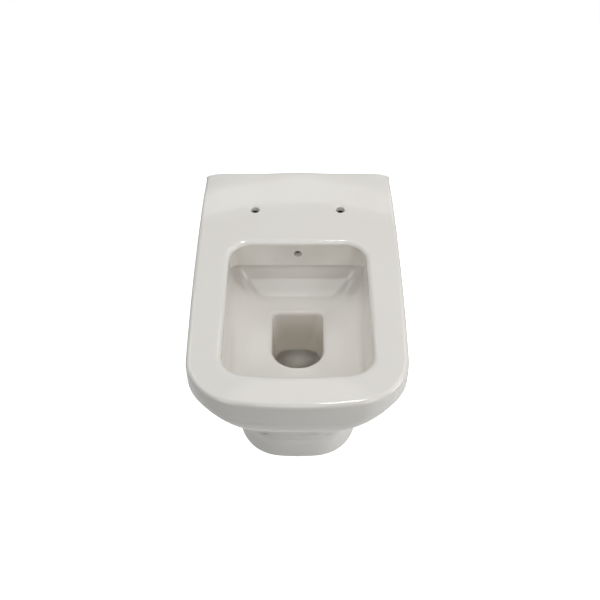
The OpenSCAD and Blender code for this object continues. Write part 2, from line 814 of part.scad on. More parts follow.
stud_x = stud_pitch / 2;
skin_x = body_half(rim_h, side_y);
spot_x = skin_x - 3;
flange_t = 2;
bush_in = skin_x - skirt_t - 8;
clamp_t = 1.6;
clamp_d = 16.4;
seat_depth = clamp_t + head_h + screw_travel + 0.5 - flange_t;
pocket_d = 18;
arm_x = bush_in - bracket_t;
plate_x = stud_x - washer_d / 2 - 15;
arm_l = side_y + arm_h / 2;
weld_h = 6.5;
screw_play = 0.1;

module along_x(x) {
    translate([x, -side_y, 0]) rotate([0, 90, 0]) children();
}

module along_y(y) {
    translate([stud_x, y, 0]) rotate([-90, 0, 0]) children();
}

// Stud with chamfered ends and a step just behind the wall face
module stud() {
    r = stud_d / 2;
    front_r = stud_front_d / 2;
    step_y = 1;
    color(zinc)
    along_y(0) rotate_extrude()
        polygon([
            [0, -stud_in], [front_r - 1, -stud_in], [front_r, -stud_in + 1],
            [front_r, step_y], [r, step_y],
            [r, stud_out - 1], [r - 1, stud_out], [0, stud_out]]);
}

// Steel angle: a plate on the wall, an arm beside the skirt and a web between them
module bracket() {
    web_l = side_y * 0.8;
    color(zinc)
    difference() {
        union() {
            translate([plate_x, -bracket_t, -bracket_h / 2])
                cube([bush_in - plate_x, bracket_t, bracket_h]);
            translate([arm_x, -arm_l + arm_h / 2, -arm_h / 2])
                cube([bracket_t, arm_l - arm_h / 2, arm_h]);
            translate([arm_x, -side_y, 0]) rotate([0, 90, 0])
                cylinder(h = bracket_t, d = arm_h);
            translate([0, 0, -bracket_h / 2])
                linear_extrude(height = bracket_t)
                    polygon([
                        [bush_in, -eps], [bush_in, -web_l], [arm_x, -web_l],
                        [stud_x, -bracket_t], [stud_x, -eps]]);
            translate([arm_x, -web_l, -bracket_h / 2])
                cube([bracket_t, web_l, bracket_h / 2]);
        }
        along_y(-bracket_t - 1) cylinder(h = bracket_t + 2, d = stud_d + 1);
        along_x(arm_x - 1) cylinder(h = bracket_t + 2, d = screw_d + 2 * screw_play);
    }
}

module stud_washer() {
    color(zinc)
    along_y(-bracket_t - washer_t)
        difference() {
            cylinder(h = washer_t, d = washer_d);
            translate([0, 0, -1]) cylinder(h = washer_t + 2, d = stud_d + 1);
        }
}

module stud_nut() {
    color(zinc)
    along_y(-bracket_t - washer_t - nut_h)
        difference() {
            cylinder(h = nut_h, d = nut_af / cos(30), $fn = 6);
            translate([0, 0, -1]) cylinder(h = nut_h + 2, d = stud_front_d + 2 * screw_play);
        }
}

// Nut welded on the arm, which takes the side screw
module weld_nut() {
    color(zinc)
    along_x(arm_x - weld_h)
        difference() {
            cylinder(h = weld_h, d = (screw_d + 5) / cos(30), $fn = 6);
            translate([0, 0, -1]) cylinder(h = weld_h + 2, d = screw_d + 2 * screw_play);
        }
}

// Plastic bush in the side hole, with a pocket for the washer and the screw head
module side_bush() {
    color(white_plastic)
    difference() {
        union() {
            along_x(bush_in) cylinder(h = spot_x - bush_in + eps, d = bush_d);
            along_x(spot_x) cylinder(h = flange_t, d = flange_d);
        }
        along_x(bush_in - 1) cylinder(h = skirt_t * 3, d = screw_d + 1);
        along_x(spot_x - seat_depth) cylinder(h = seat_depth + flange_t + 1, d = pocket_d);
    }
}

module clamp_washer() {
    color(zinc)
    along_x(spot_x - seat_depth)
        difference() {
            cylinder(h = clamp_t, d = clamp_d);
            translate([0, 0, -1]) cylinder(h = clamp_t + 2, d = screw_d + 2 * screw_play);
        }
}

// Side screw with a round head and a hexagon socket
module clamp_screw() {
    r = screw_d / 2;
    head = head_d / 2;
    head_x = spot_x - seat_depth + clamp_t;
    top_x = head_x + head_h;
    tip_x = arm_x - weld_h - 3;
    key = screw_d * 0.6;
    color(zinc)
    difference() {
        along_x(0) rotate_extrude()
            polygon([
                [0, tip_x], [r - 1, tip_x], [r, tip_x + 1], [r, head_x],
                [head, head_x], [head, head_x + head_h * 0.6],
                [head - 1.5, top_x], [0, top_x]]);
        along_x(head_x + head_h * 0.35) cylinder(h = head_h, d = key / cos(30), $fn = 6);
    }
}

// Push-in cap over the flange, with a low dome and a ring that grips the pocket
module screw_cap() {
    r = flange_d / 2;
    face = spot_x + flange_t;
    dome = 2.5;
    ring_out = pocket_d / 2 - 0.2;
    ring_in = ring_out - 1.2;
    ring_end = face - 2.6;
    roof = face + 0.6;
    color(china)
    along_x(0) rotate_extrude()
        polygon([
            [0, roof], [ring_in, roof], [ring_in, ring_end], [ring_out, ring_end],
            [ring_out, face], [r, face], [r, face + dome * 0.4],
            [r - 2, face + dome * 0.8], [r / 2, face + dome], [0, face + dome]]);
}

module left() {
    mirror([1, 0, 0]) children();
}

rim_casting();
skirt_casting();
bowl_casting();
trap_casting();
outlet_casting();
wall_mat();
flush_pipe();
inlet_seal();
outlet_connector();
outlet_seal();
left() stud();  // stud_left
stud();  // stud_right
left() bracket();  // bracket_left
bracket();  // bracket_right
left() stud_washer();  // stud_washer_left
stud_washer();  // stud_washer_right
left() stud_nut();  // stud_nut_left
stud_nut();  // stud_nut_right
left() weld_nut();  // weld_nut_left
weld_nut();  // weld_nut_right
left() side_bush();  // side_bush_left
side_bush();  // side_bush_right
left() clamp_washer();  // clamp_washer_left
clamp_washer();  // clamp_washer_right
left() clamp_screw();  // clamp_screw_left
clamp_screw();  // clamp_screw_right
left() screw_cap();  // screw_cap_left
screw_cap();  // screw_cap_right
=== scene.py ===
# %% [markdown]
# # A wall hung toilet
# The pan is one piece of vitreous china: clay slip is cast in plaster moulds, the castings are
# stuck together while they are soft, and the whole is sprayed with glaze and fired. It has
# hardly a straight edge. So it is built here as one skin of soft outlines, stacked like the
# hoops of a barrel, and only its holes are cut afterwards. The pipes and fixings behind it are
# turned or bent parts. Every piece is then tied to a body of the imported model.

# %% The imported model
import math

import bmesh
import bpy
import numpy as np
from mathutils import Matrix, Vector


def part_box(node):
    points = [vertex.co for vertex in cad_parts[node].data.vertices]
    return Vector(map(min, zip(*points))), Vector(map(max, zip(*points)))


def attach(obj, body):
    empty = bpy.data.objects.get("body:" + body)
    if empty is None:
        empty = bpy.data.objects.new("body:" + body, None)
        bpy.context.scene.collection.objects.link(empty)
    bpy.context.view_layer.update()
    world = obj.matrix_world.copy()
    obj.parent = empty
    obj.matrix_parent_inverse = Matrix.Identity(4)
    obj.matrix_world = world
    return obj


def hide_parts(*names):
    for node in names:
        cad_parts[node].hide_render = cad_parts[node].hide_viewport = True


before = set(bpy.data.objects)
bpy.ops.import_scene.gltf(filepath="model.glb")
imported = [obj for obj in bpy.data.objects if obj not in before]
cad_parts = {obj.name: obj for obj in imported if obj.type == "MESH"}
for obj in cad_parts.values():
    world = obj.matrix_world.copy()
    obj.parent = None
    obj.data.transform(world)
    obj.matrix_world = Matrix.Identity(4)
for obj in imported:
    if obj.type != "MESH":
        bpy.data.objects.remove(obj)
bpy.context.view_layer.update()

MM = 0.001

# %% [markdown]
# ## Sizes
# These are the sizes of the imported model, in millimetres: X to the right, Y into the wall and
# Z up, from the point on the wall midway between the two studs. Names follow the parts of the
# pan: the band is the upright strip under the rim, the curtain is the wall that hides the
# flush chamber, and the sump is the well that holds the water.

# %% Sizes of the pan
PAN_W, PAN_L, RIM_H, PAN_H = 353, 540, 80, 325
SKIRT_T, RIM_T, MAT_T, EDGE_R = 11, 10, 3, 8
CORNER_X, CORNER_Y, CORNER_ROUND, FRONT_BOW = 78, 72, 1, 22.5
SIDE_DRAW, SIDE_START, BACK_DRAW, BACK_START = 4.8, 200, 5.6, 137
BAND_H, FOOT_W, FOOT_L, FOOT_CORNER, FOOT_EDGE_R = 36, 209, 401, 76, 8
WALL_FLARE, BELLY_X, BELLY_Y, BELLY_PULL, FOOT_PULL = 0.45, 115, 260, 51, 94
FOOT_BOW_SHARE, FOOT_ROUND = 0.7, 0.8
VENT_R, VENT_Y = 13, 330
DECK_RISE, DECK_CROWN, CROWN_W = 18, 4, 75
RAMP_FOOT, RAMP_OVER, RAMP_FOOT_BOW, RAMP_TOP_BOW, RAMP_SIDE = 94, 15, 26, 41, 150
RAMP_HOLLOW, RAMP_CREST, SIDE_FALL, SIDE_FALL_W = 0.38, 0.34, 0.22, 50
SEAT_PITCH, SEAT_R, SEAT_Y = 155, 8, 86
MOUTH_HALF, MOUTH_BACK, MOUTH_FRONT = 127.5, 166, 488
MOUTH_RB, MOUTH_RF, MOUTH_BOW, MOUTH_ROUND, LIP_R = 47, 46, 10, 0.9, 9
LIP_BACK, LIP_DEPTH, LIP_EDGE_R = 3.5, 13, 0.8
BOWL_T, BULGE, BULGE_DEPTH, TURN_DEPTH, FLOOR_DEPTH = 11, 1.5, 75, 118, 139
SUMP_JOINT, VALLEY_R, SLOPE_BACK, SLOPE_BEND = 150, 22, 142, 2
CURTAIN_H, CURTAIN_RB, CURTAIN_T, CHAMBER_W, CHAMBER_ROOF = 58.5, 13, 11, 200, 21
JET_R, JET_DEPTH = 7, 31
INLET_Z, INLET_R, INLET_T, INLET_END = 35, 27.5, 7, 12
SUMP_HALF, SUMP_L, SUMP_BACK, SUMP_RB, SUMP_RF, SUMP_EDGE = 45.5, 129, 210, 10, 43, 7
TRAP_T, OUTLET_Z = 10, -100
SPIGOT_R, SPIGOT_BORE, SPIGOT_END, SPIGOT_BEVEL = 51, 41, 8, 2
BORE_FROM, SPIGOT_FROM = 42, 50
STUD_X, STUD_R, STUD_IN, STUD_OUT = 90, 6, 46, 40
THREAD_PITCH, THREAD_DEPTH, THREAD_CHAMFER, THREAD_RINGS = 1.75, 0.9, 1, 390
SIDE_Y, BUSH_HOLE_R, FLANGE_HOLE_R, FLANGE_T = 65, 12.3, 16, 2
SEAT_HOLE_L, SEAT_FLARE, JET_FLARE = 22, 1.4, 1.2
HORN_BEVEL, INLET_CUT, CHAMBER_CUT = 2, 3, 2
OVER, OVER_R, WALL_CUT, SIDE_CUT = 20, 18, 60, 40

HALF_W = PAN_W / 2
FOOT_Z = RIM_H - PAN_H
WALL_HALF = MOUTH_HALF - LIP_R + LIP_BACK
WALL_FRONT = -MOUTH_FRONT + LIP_R - LIP_BACK
WALL_RF = MOUTH_RF - LIP_R + LIP_BACK
CURTAIN_Y = -MOUTH_BACK - LIP_R + LIP_BACK
SUMP_FRONT = SUMP_BACK + SUMP_L
SUMP_MID = SUMP_BACK + SUMP_L / 2

# %% [markdown]
# ## Outlines
# One rule draws every outline of the pan: a straight back, round back corners, sides, front
# corners that are squarer than an ellipse, and a front edge with a slight bow. Because each
# outline has the same number of points in the same order, any two of them can be joined.

# %% The outline rule
# Points along the back, the back corner, the side, the front corner and the front
OUTSIDE = [26, 4, 46, 34, 16]
INSIDE = [26, 20, 30, 34, 16]
# A hair's breadth that keeps the points of a full circle apart
HAIR = 0.01


def mix(a, b, f):
    return a + (b - a) * f


def ease(f):
    return 3 * f ** 2 - 2 * f ** 3


def bezier(p, t):
    return (p[0] * (1 - t) ** 3 + 3 * p[1] * (1 - t) ** 2 * t
            + 3 * p[2] * (1 - t) * t ** 2 + p[3] * t ** 3)


def outline(a, back, front, rb, rx, ry, bow, power, counts):
    """A closed outline as rows of x, y, from the middle of the back and round to it again."""
    y0 = front + bow
    step = [np.arange(n) / n for n in counts]
    t, u = step[1] * math.pi / 2, step[3] * math.pi / 2
    x = [(a - rb) * step[0], a - rb + rb * np.sin(t), np.full(counts[2], a),
         a - rx + rx * np.cos(u) ** power, (a - rx) * (1 - np.append(step[4], 1))]
    y = [np.full(counts[0], back), back - rb + rb * np.cos(t),
         mix(back - rb, y0 + ry, step[2] ** 1.5),
         y0 + ry - ry * np.sin(u) ** power, np.full(counts[4] + 1, y0)]
    for k in (3, 4):
        y[k] = y[k] - bow * (1 - (x[k] / a) ** 2)
    x, y = np.concatenate(x), np.concatenate(y)
    return np.column_stack([np.append(x, -x[-2:0:-1]), np.append(y, y[-2:0:-1])])


def raised(flat, z):
    return np.column_stack([flat, np.broadcast_to(z, len(flat))])


print("points round the pan:", len(outline(10, 5, -5, 2, 3, 3, 1, 1, OUTSIDE)))

# %% [markdown]
# ## The outside
# From the band down, the outline shrinks towards the foot along an S-shaped path, and its
# corners swell half way down, which makes the belly. Near the wall the skirt keeps more of its
# width, because the fixings and the outlet hide there. Right by the wall it draws in a little.


# %% Skirt outlines
def reach(band, belly, foot, t):
    return bezier([band, mix(band, belly, 2 / 3), mix(foot, belly, 2 / 3), foot], t)


def body(t, inset, counts=OUTSIDE):
    """The pan's outline, from 0 at the band to 1 at the foot."""
    a = mix(HALF_W, FOOT_W / 2, ease(t))
    front = mix(-PAN_L, -FOOT_L, ease(t))
    rx = min(reach(CORNER_X, BELLY_X, FOOT_CORNER, t), a - 2)
    ry = reach(CORNER_Y, BELLY_Y, FOOT_CORNER, t)
    flat = outline(a - inset, OVER - inset, front + inset, OVER_R - inset / 2, rx - inset,
                   ry - inset, FRONT_BOW * mix(1, FOOT_BOW_SHARE, t),
                   mix(CORNER_ROUND, FOOT_ROUND, t), counts)
    along = np.maximum(0, -flat[:, 1] - SIDE_START) / (PAN_L - SIDE_START - CORNER_Y)
    drawn = 1 - SIDE_DRAW * (1 - t) / HALF_W * along ** 2
    flare = ease(np.clip(1 + flat[:, 1] / FOOT_L, 0, 1))
    tuck = BACK_DRAW / HALF_W * ease(np.clip(1 + flat[:, 1] / BACK_START, 0, 1))
    flat[:, 0] *= drawn * (1 + WALL_FLARE * (HALF_W / a - 1) * flare) * (1 - tuck)
    return flat


def body_depth(t):
    top = PAN_H - FOOT_EDGE_R
    return bezier([BAND_H, BAND_H + BELLY_PULL, top - FOOT_PULL, top], t)


# %% [markdown]
# ## The rear deck
# Behind the seat holes the flat rim sweeps up to a crest at the wall. In section it is a hollow
# fillet, a short slope and a convex crest. Its foot and its crest both curve forward at the
# sides, so the height is worked out for each point of the top.


# %% Deck height
def deck(flat):
    x, y = flat[:, 0], flat[:, 1]
    s = (x / RAMP_SIDE) ** 2
    start = -RAMP_FOOT - RAMP_FOOT_BOW * s
    end = RAMP_OVER - RAMP_TOP_BOW * s
    f = np.clip((y - start) / (end - start), 0, 1)
    run = 1 - (RAMP_HOLLOW + RAMP_CREST) / 2
    ramp = np.where(f < RAMP_HOLLOW, f ** 2 / (2 * RAMP_HOLLOW * run),
                    np.where(f < 1 - RAMP_CREST, (f - RAMP_HOLLOW / 2) / run,
                             1 - (1 - f) ** 2 / (2 * RAMP_CREST * run)))
    crown = DECK_CROWN * np.clip(1 - (x / CROWN_W) ** 2, 0, 1) ** 2
    fall = SIDE_FALL * np.clip(1 - (HALF_W - abs(x)) / SIDE_FALL_W, 0, 1) ** 2
    return (DECK_RISE + crown) * ramp * (1 - fall)


def on_deck(flat, z):
    return raised(flat, RIM_H + z + deck(flat))


# %% [markdown]
# ## The basin
# The mouth's lip rolls over and ends in a fine edge. The walls stand back a little under it,
# bulge and then turn into the floor. At the back hangs the curtain. Below its edge the wall
# jumps back to the rear slope, whose corners make the two valleys that run to the sump. The
# slope starts steep and flattens out towards the floor.

# %% Basin outlines
TURN_HALF = WALL_HALF - LIP_BACK
BOWL_IN = np.array([[WALL_HALF, LIP_DEPTH], [WALL_HALF + BULGE, BULGE_DEPTH],
                    [TURN_HALF, TURN_DEPTH], [SUMP_HALF + SUMP_EDGE, FLOOR_DEPTH]], float)
BOWL_OUT = np.array([[WALL_HALF + BOWL_T, LIP_DEPTH],
                     [WALL_HALF + BULGE + BOWL_T, BULGE_DEPTH],
                     [TURN_HALF + BOWL_T, TURN_DEPTH + BOWL_T * 1.3],
                     [SUMP_HALF + BOWL_T, SUMP_JOINT]], float)


def mouth(inset):
    return outline(MOUTH_HALF - inset, -MOUTH_BACK - inset, -MOUTH_FRONT + inset,
                   MOUTH_RB - inset, MOUTH_RF - inset, MOUTH_RF - inset, MOUTH_BOW,
                   MOUTH_ROUND, INSIDE)


def cove(out):
    """The walls right under the lip, let out by an amount."""
    return outline(WALL_HALF + out, CURTAIN_Y + out, WALL_FRONT - out, CURTAIN_RB + out,
                   WALL_RF + out, WALL_RF + out, MOUTH_BOW, MOUTH_ROUND, INSIDE)


def sump(inset, counts=INSIDE):
    return outline(SUMP_HALF - inset, -SUMP_BACK - inset, -SUMP_FRONT + inset,
                   SUMP_RB - inset, SUMP_RF - inset, SUMP_RF - inset, 0, 1, counts)


def step_at(depth):
    """The step of the basin's profile at a depth below the rim."""
    steps = np.linspace(0, 1, 400)
    depths = [bezier(BOWL_IN, s)[1] for s in steps]
    return float(np.interp(depth, depths, steps))


def slope_y(depth):
    share = (depth - CURTAIN_H) / (FLOOR_DEPTH - CURTAIN_H)
    return mix(-SLOPE_BACK, -SUMP_BACK + SUMP_EDGE, min(max(share, 0), 1) ** SLOPE_BEND)


def valley(f, wall):
    return mix(SUMP_RB + (wall if wall else SUMP_EDGE), VALLEY_R + wall, min(1, f * 2))


def basin(t, behind):
    """The basin's inside at a step: behind is 0 on the curtain and 1 on the rear slope."""
    half, depth = bezier(BOWL_IN, t)
    f = (half - SUMP_HALF - SUMP_EDGE) / (WALL_HALF - SUMP_HALF - SUMP_EDGE)
    front = mix(-SUMP_FRONT - SUMP_EDGE, WALL_FRONT, f)
    corner = mix(SUMP_RF + SUMP_EDGE / 2, WALL_RF, f)
    back = mix(CURTAIN_Y, slope_y(max(depth, CURTAIN_H)), behind)
    rb = mix(CURTAIN_RB, valley(f, 0), behind)
    return raised(outline(half, back, front, rb, corner, corner, MOUTH_BOW * f,
                          mix(1, MOUTH_ROUND, f), INSIDE), RIM_H - depth)


def shell(t):
    """The basin's hidden outside at a step."""
    half, depth = bezier(BOWL_OUT, t)
    f = (half - SUMP_HALF - BOWL_T) / (WALL_HALF - SUMP_HALF)
    front = mix(-SUMP_FRONT - BOWL_T, WALL_FRONT - BOWL_T, f)
    corner = mix(SUMP_RF + BOWL_T, WALL_RF + BOWL_T, f)
    share = (depth - CURTAIN_H - BOWL_T) / (SUMP_JOINT - CURTAIN_H - BOWL_T)
    back = BOWL_T + mix(-SLOPE_BACK, -SUMP_BACK, min(max(share, 0), 1) ** SLOPE_BEND)
    return raised(outline(half, back, front, valley(f, BOWL_T), corner, corner,
                          MOUTH_BOW * f, mix(1, MOUTH_ROUND, f), INSIDE), RIM_H - depth)


print("the curtain ends at step", round(step_at(CURTAIN_H), 3))

# %% [markdown]
# ## The waterway
# From the sump the passage dips, climbs behind the dip to the weir that holds the water back,
# and leaves through the spigot. A table gives a few stations along it: distance from the wall,
# depth below the rim, heading in degrees, half width and half height. A curve through the
# stations gives as many rings as are wanted. The sump's outline has turned into a circle by
# the sixth station.

# %% Waterway rings
STATIONS = np.array([
    [SUMP_MID, SUMP_JOINT, -90, SUMP_HALF, SUMP_L / 2],
    [SUMP_MID - 1, 190, -88, 44.5, 62.5],
    [SUMP_MID - 15.3, 238, -68, 43, 52],
    [SUMP_MID - 46, 264, -32, 41.5, 30],
    [SUMP_MID - 78, 274, 4, 40, 25],
    [SUMP_MID - 105, 243, 46, 40, 31],
    [SUMP_MID - 127, 205, 62, 40, 33],
    [SUMP_MID - 147, 169, 42, 41, 35],
    [SUMP_MID - 171, 149, 10, 41, 35],
    [SUMP_MID - 196, 156, -12, 41, 38],
    [SUMP_MID - 214, 168, -12, 41, 40],
    [46, 180, 0, 40.4, 40.4]], float)
ROUND = outline(1, 1, -1, 1 - HAIR, 1 - HAIR, 1, 0, 1, INSIDE)
ROUND_BY = 5


def station(k):
    """A smooth curve through the stations, at a fractional row."""
    i = min(int(k), len(STATIONS) - 2)
    rows = [STATIONS[max(0, min(len(STATIONS) - 1, i + d))] for d in (-1, 0, 1, 2)]
    t = k - i
    return 0.5 * (2 * rows[1] + (rows[2] - rows[0]) * t
                  + (2 * rows[0] - 5 * rows[1] + 4 * rows[2] - rows[3]) * t ** 2
                  + (3 * rows[1] - rows[0] - 3 * rows[2] + rows[3]) * t ** 3)


def waterway(k, wall):
    out, depth, heading, half_w, half_h = station(k)
    c = math.radians(heading)
    flat = sump(0)
    p = np.column_stack([flat[:, 0] / SUMP_HALF, (flat[:, 1] + SUMP_MID) / (SUMP_L / 2)])
    q = mix(p, ROUND, min(1, k / ROUND_BY))
    x, h = q[:, 0] * (half_w + wall), q[:, 1] * (half_h + wall)
    return np.column_stack([x, -out - h * math.sin(c), RIM_H - depth + h * math.cos(c)])


def spigot(r, y):
    return np.column_stack([ROUND[:, 0] * r, np.full(len(ROUND), y), OUTLET_Z + ROUND[:, 1] * r])


print("stations of the waterway:", len(STATIONS))

# %% [markdown]
# ## One skin
# All the rows are now joined in one loop: from the vent across the underside, up the skirt,
# over the rim and the lip, down the basin and the trap to the spigot, then back along the
# hidden outside of the trap and basin, under the rim and down the inside of the skirt. The
# last row meets the first, so the china is one closed solid with an even, smooth grid.


# %% Helpers: new objects and plain meshes
def linked(name, data):
    """A new object in the scene, with its mesh, camera or lamp."""
    piece = bpy.data.objects.new(name, data)
    bpy.context.scene.collection.objects.link(piece)
    return piece


def kept(name, work):
    """Keeps a mesh under work as an object."""
    mesh = bpy.data.meshes.new(name)
    work.to_mesh(mesh)
    work.free()
    return linked(name, mesh)


def plain(piece):
    """Turns what a piece's modifiers make into its own mesh."""
    graph = bpy.context.evaluated_depsgraph_get()
    mesh = bpy.data.meshes.new_from_object(piece.evaluated_get(graph))
    piece.modifiers.clear()
    old, piece.data = piece.data, mesh
    bpy.data.meshes.remove(old)
    return piece


# %% Helper: a closed skin from rows
def skin(name, rows):
    """A closed mesh from outlines in millimetres. The last row joins the first."""
    points = np.array(rows)
    m, n = points.shape[:2]
    i, j = np.meshgrid(np.arange(m), np.arange(n), indexing="ij")
    down, on = (i + 1) % m, (j + 1) % n
    faces = np.stack([i * n + j, i * n + on, down * n + on, down * n + j], -1).reshape(-1, 4)
    mesh = bpy.data.meshes.new(name)
    mesh.from_pydata((points.reshape(-1, 3) * MM).tolist(), [], faces.tolist())
    work = bmesh.new()
    work.from_mesh(mesh)
    bpy.data.meshes.remove(mesh)
    if work.calc_volume(signed=True) < 0:
        bmesh.ops.reverse_faces(work, faces=work.faces[:])
    return kept(name, work)


def quarter(n):
    """Angles of a fillet in radians, without its two ends."""
    return np.arange(1, n) / n * math.pi / 2


# %% Rows of the outside
vent = outline(VENT_R, -VENT_Y + VENT_R, -VENT_Y - VENT_R, VENT_R - HAIR, VENT_R - HAIR,
               VENT_R, 0, 1, OUTSIDE)
rim_top = body(0, EDGE_R)
rows = [raised(mix(vent, body(1, FOOT_EDGE_R), f), FOOT_Z) for f in np.linspace(0, 1, 6)]
for a in quarter(8)[::-1]:
    rows.append(raised(body(1, FOOT_EDGE_R * (1 - math.cos(a))),
                       FOOT_Z + FOOT_EDGE_R * (1 - math.sin(a))))
for t in np.linspace(1, 0, 50):
    rows.append(raised(body(t, 0), RIM_H - body_depth(t)))
rows.append(on_deck(body(0, 0), -BAND_H / 2))
for a in np.append(0, quarter(10)):
    rows.append(on_deck(body(0, EDGE_R * (1 - math.cos(a))), -EDGE_R * (1 - math.sin(a))))
for f in np.linspace(0, 1, 30):
    rows.append(on_deck(mix(rim_top, mouth(0), f), 0))
print("rows of the outside:", len(rows))

# %% Rows of the lip and the basin
CURTAIN_EDGE_R = 1.6
for a in np.append(quarter(12), math.pi / 2):
    rows.append(raised(mouth(LIP_R * math.sin(a)),
                       RIM_H - (LIP_R - LIP_EDGE_R) * (1 - math.cos(a))))
for a in quarter(4):
    rows.append(raised(mouth(LIP_R - LIP_EDGE_R * (1 - math.cos(a))),
                       RIM_H - LIP_R + LIP_EDGE_R * (1 - math.sin(a))))
under_lip = mouth(LIP_R - LIP_EDGE_R)
for a in np.append(0, quarter(6)):
    rows.append(raised(mix(under_lip, cove(0), math.sin(a)),
                       RIM_H - mix(LIP_R, LIP_DEPTH, 1 - math.cos(a))))
curtain_end = step_at(CURTAIN_H)
for t in np.linspace(0, step_at(CURTAIN_H - CURTAIN_EDGE_R), 12):
    rows.append(basin(t, 0))
for a in quarter(5):
    t = step_at(CURTAIN_H - CURTAIN_EDGE_R * (1 - math.sin(a)))
    back = CURTAIN_EDGE_R * (1 - math.cos(a)) / (-SLOPE_BACK - CURTAIN_Y)
    rows.append(basin(t, back))
for f in (0.12, 0.35, 0.7):
    rows.append(basin(curtain_end, f))
for t in np.linspace(curtain_end, 1, 60):
    rows.append(basin(t, 1))
for inset, share in ((-SUMP_EDGE * 0.72, 0.1), (-SUMP_EDGE * 0.42, 0.25),
                     (-SUMP_EDGE * 0.2, 0.42), (-SUMP_EDGE * 0.06, 0.62), (0, 0.82)):
    rows.append(raised(sump(inset), RIM_H - mix(FLOOR_DEPTH, SUMP_JOINT, share)))
print("rows down to the sump:", len(rows))

# %% Rows of the hidden side
last = len(STATIONS) - 1
for k in np.linspace(0, last, 44):
    rows.append(waterway(k, 0))
bevel_y = -SPIGOT_END - SPIGOT_BEVEL
for r, y in ((SPIGOT_BORE, -BORE_FROM), (SPIGOT_BORE, bevel_y),
             (SPIGOT_BORE + SPIGOT_BEVEL, -SPIGOT_END), (SPIGOT_R - SPIGOT_BEVEL, -SPIGOT_END),
             (SPIGOT_R, bevel_y), (SPIGOT_R, -SPIGOT_FROM)):
    rows.append(spigot(r, y))
for k in np.linspace(last - 0.35, 0, 26):
    rows.append(waterway(k, TRAP_T))
for t in np.linspace(1, 0, 18):
    rows.append(shell(t))
under = shell(0)[:, :2]
for f in np.linspace(0.12, 0.88, 8):
    rows.append(on_deck(mix(under, rim_top, f), -RIM_T))
rows.append(raised(body(0, SKIRT_T), RIM_H - RIM_T))
for t in np.linspace(0, 1, 22):
    rows.append(raised(body(t, SKIRT_T), RIM_H - body_depth(t) + SKIRT_T * t ** 4 / 2))
rows.append(raised(body(1, SKIRT_T + FOOT_EDGE_R), FOOT_Z + SKIRT_T))
rows.append(raised(mix(vent, body(1, SKIRT_T + FOOT_EDGE_R), 0.3), FOOT_Z + SKIRT_T))
rows.append(raised(vent, FOOT_Z + SKIRT_T))
pan = skin("glazed_pan", rows)
print("rows in all:", len(rows), "faces:", len(pan.data.polygons))

# %% [markdown]
# ## Holes
# Real holes in china have soft edges, because they are punched in the soft casting and then
# glazed. A turned cutter with a flared mouth leaves such an edge in one cut. The solver made
# for closed meshes keeps the skin closed. The same step cuts the pan off at the wall, opens
# the flush chamber behind the curtain, and adds the inlet horn.


# %% Helper: turned solids
TINY = 1e-6


def turned(name, profile, start, axis, steps=96, soft=0.0):
    """Turns a closed profile of (radius, distance along the axis) in millimetres."""
    profile = softened_profile(profile, soft) if soft else [tuple(p) for p in profile]
    work = bmesh.new()
    rings = []
    for r, h in profile:
        if r < TINY:
            rings.append([work.verts.new((0, 0, h * MM))] * steps)
            continue
        rings.append([work.verts.new((r * MM * math.cos(a), r * MM * math.sin(a), h * MM))
                      for a in np.arange(steps) / steps * 2 * math.pi])
    for k in range(len(profile)):
        after = (k + 1) % len(profile)
        one, two = rings[k], rings[after]
        if profile[k][0] < TINY and profile[after][0] < TINY:
            continue
        for i in range(steps):
            j = (i + 1) % steps
            corners = []
            for v in (one[i], one[j], two[j], two[i]):
                if v not in corners:
                    corners.append(v)
            work.faces.new(corners)
    bmesh.ops.recalc_face_normals(work, faces=work.faces[:])
    turn = Vector((0, 0, 1)).rotation_difference(Vector(axis)).to_matrix().to_4x4()
    work.transform(Matrix.Translation(Vector(start) * MM) @ turn)
    return kept(name, work)


def softened_profile(profile, radius, parts=3):
    """Rounds each corner of a closed profile, where its two sides are long enough."""
    points = []
    n = len(profile)
    for i in range(n):
        before, here, after = (np.array(profile[(i + d) % n], float) for d in (-1, 0, 1))
        to_before, to_after = before - here, after - here
        room = min(np.linalg.norm(to_before), np.linalg.norm(to_after)) * 0.45
        bend = abs(to_before[0] * to_after[1] - to_before[1] * to_after[0])
        if here[0] < TINY or bend < TINY or room < 0.05:
            points.append(tuple(here))
            continue
        r = min(radius, room)
        one = here + to_before / np.linalg.norm(to_before) * r
        two = here + to_after / np.linalg.norm(to_after) * r
        for f in np.arange(parts + 1) / parts:
            points.append(tuple(one * (1 - f) ** 2 + here * 2 * f * (1 - f) + two * f ** 2))
    return points


def trumpet(r, depth, flare, above=2.0):
    """The profile of a hole cutter that starts on a surface at 0 and flares there."""
    edge = [(r + flare * (1 - math.sin(a)), -flare * (1 - math.cos(a)))
            for a in np.linspace(0, math.pi / 2, 7)]
    return [(0, above), (r + flare + above, above), (r + flare + 0.3, 0.05)] + edge + [
        (r, -depth), (0, -depth)]


# %% Helper: cuts and joins
def combined(piece, others, operation):
    """Cuts others from a piece, or joins them to it, and keeps a plain mesh."""
    group = bpy.data.collections.new("cutters")
    for other in others:
        bpy.context.scene.collection.objects.unlink(other)
        group.objects.link(other)
    change = piece.modifiers.new("change", "BOOLEAN")
    change.operation, change.operand_type, change.solver = operation, "COLLECTION", "MANIFOLD"
    change.collection = group
    plain(piece)
    for other in others:
        bpy.data.objects.remove(other)
    bpy.data.collections.remove(group)


def block(name, low, high):
    """A plain box between two corners."""
    work = bmesh.new()
    bmesh.ops.create_cube(work, size=1)
    size = [(b - a) * MM for a, b in zip(low, high)]
    middle = [(b + a) / 2 * MM for a, b in zip(low, high)]
    work.transform(Matrix.Translation(middle) @ Matrix.Diagonal((*size, 1)))
    return kept(name, work)


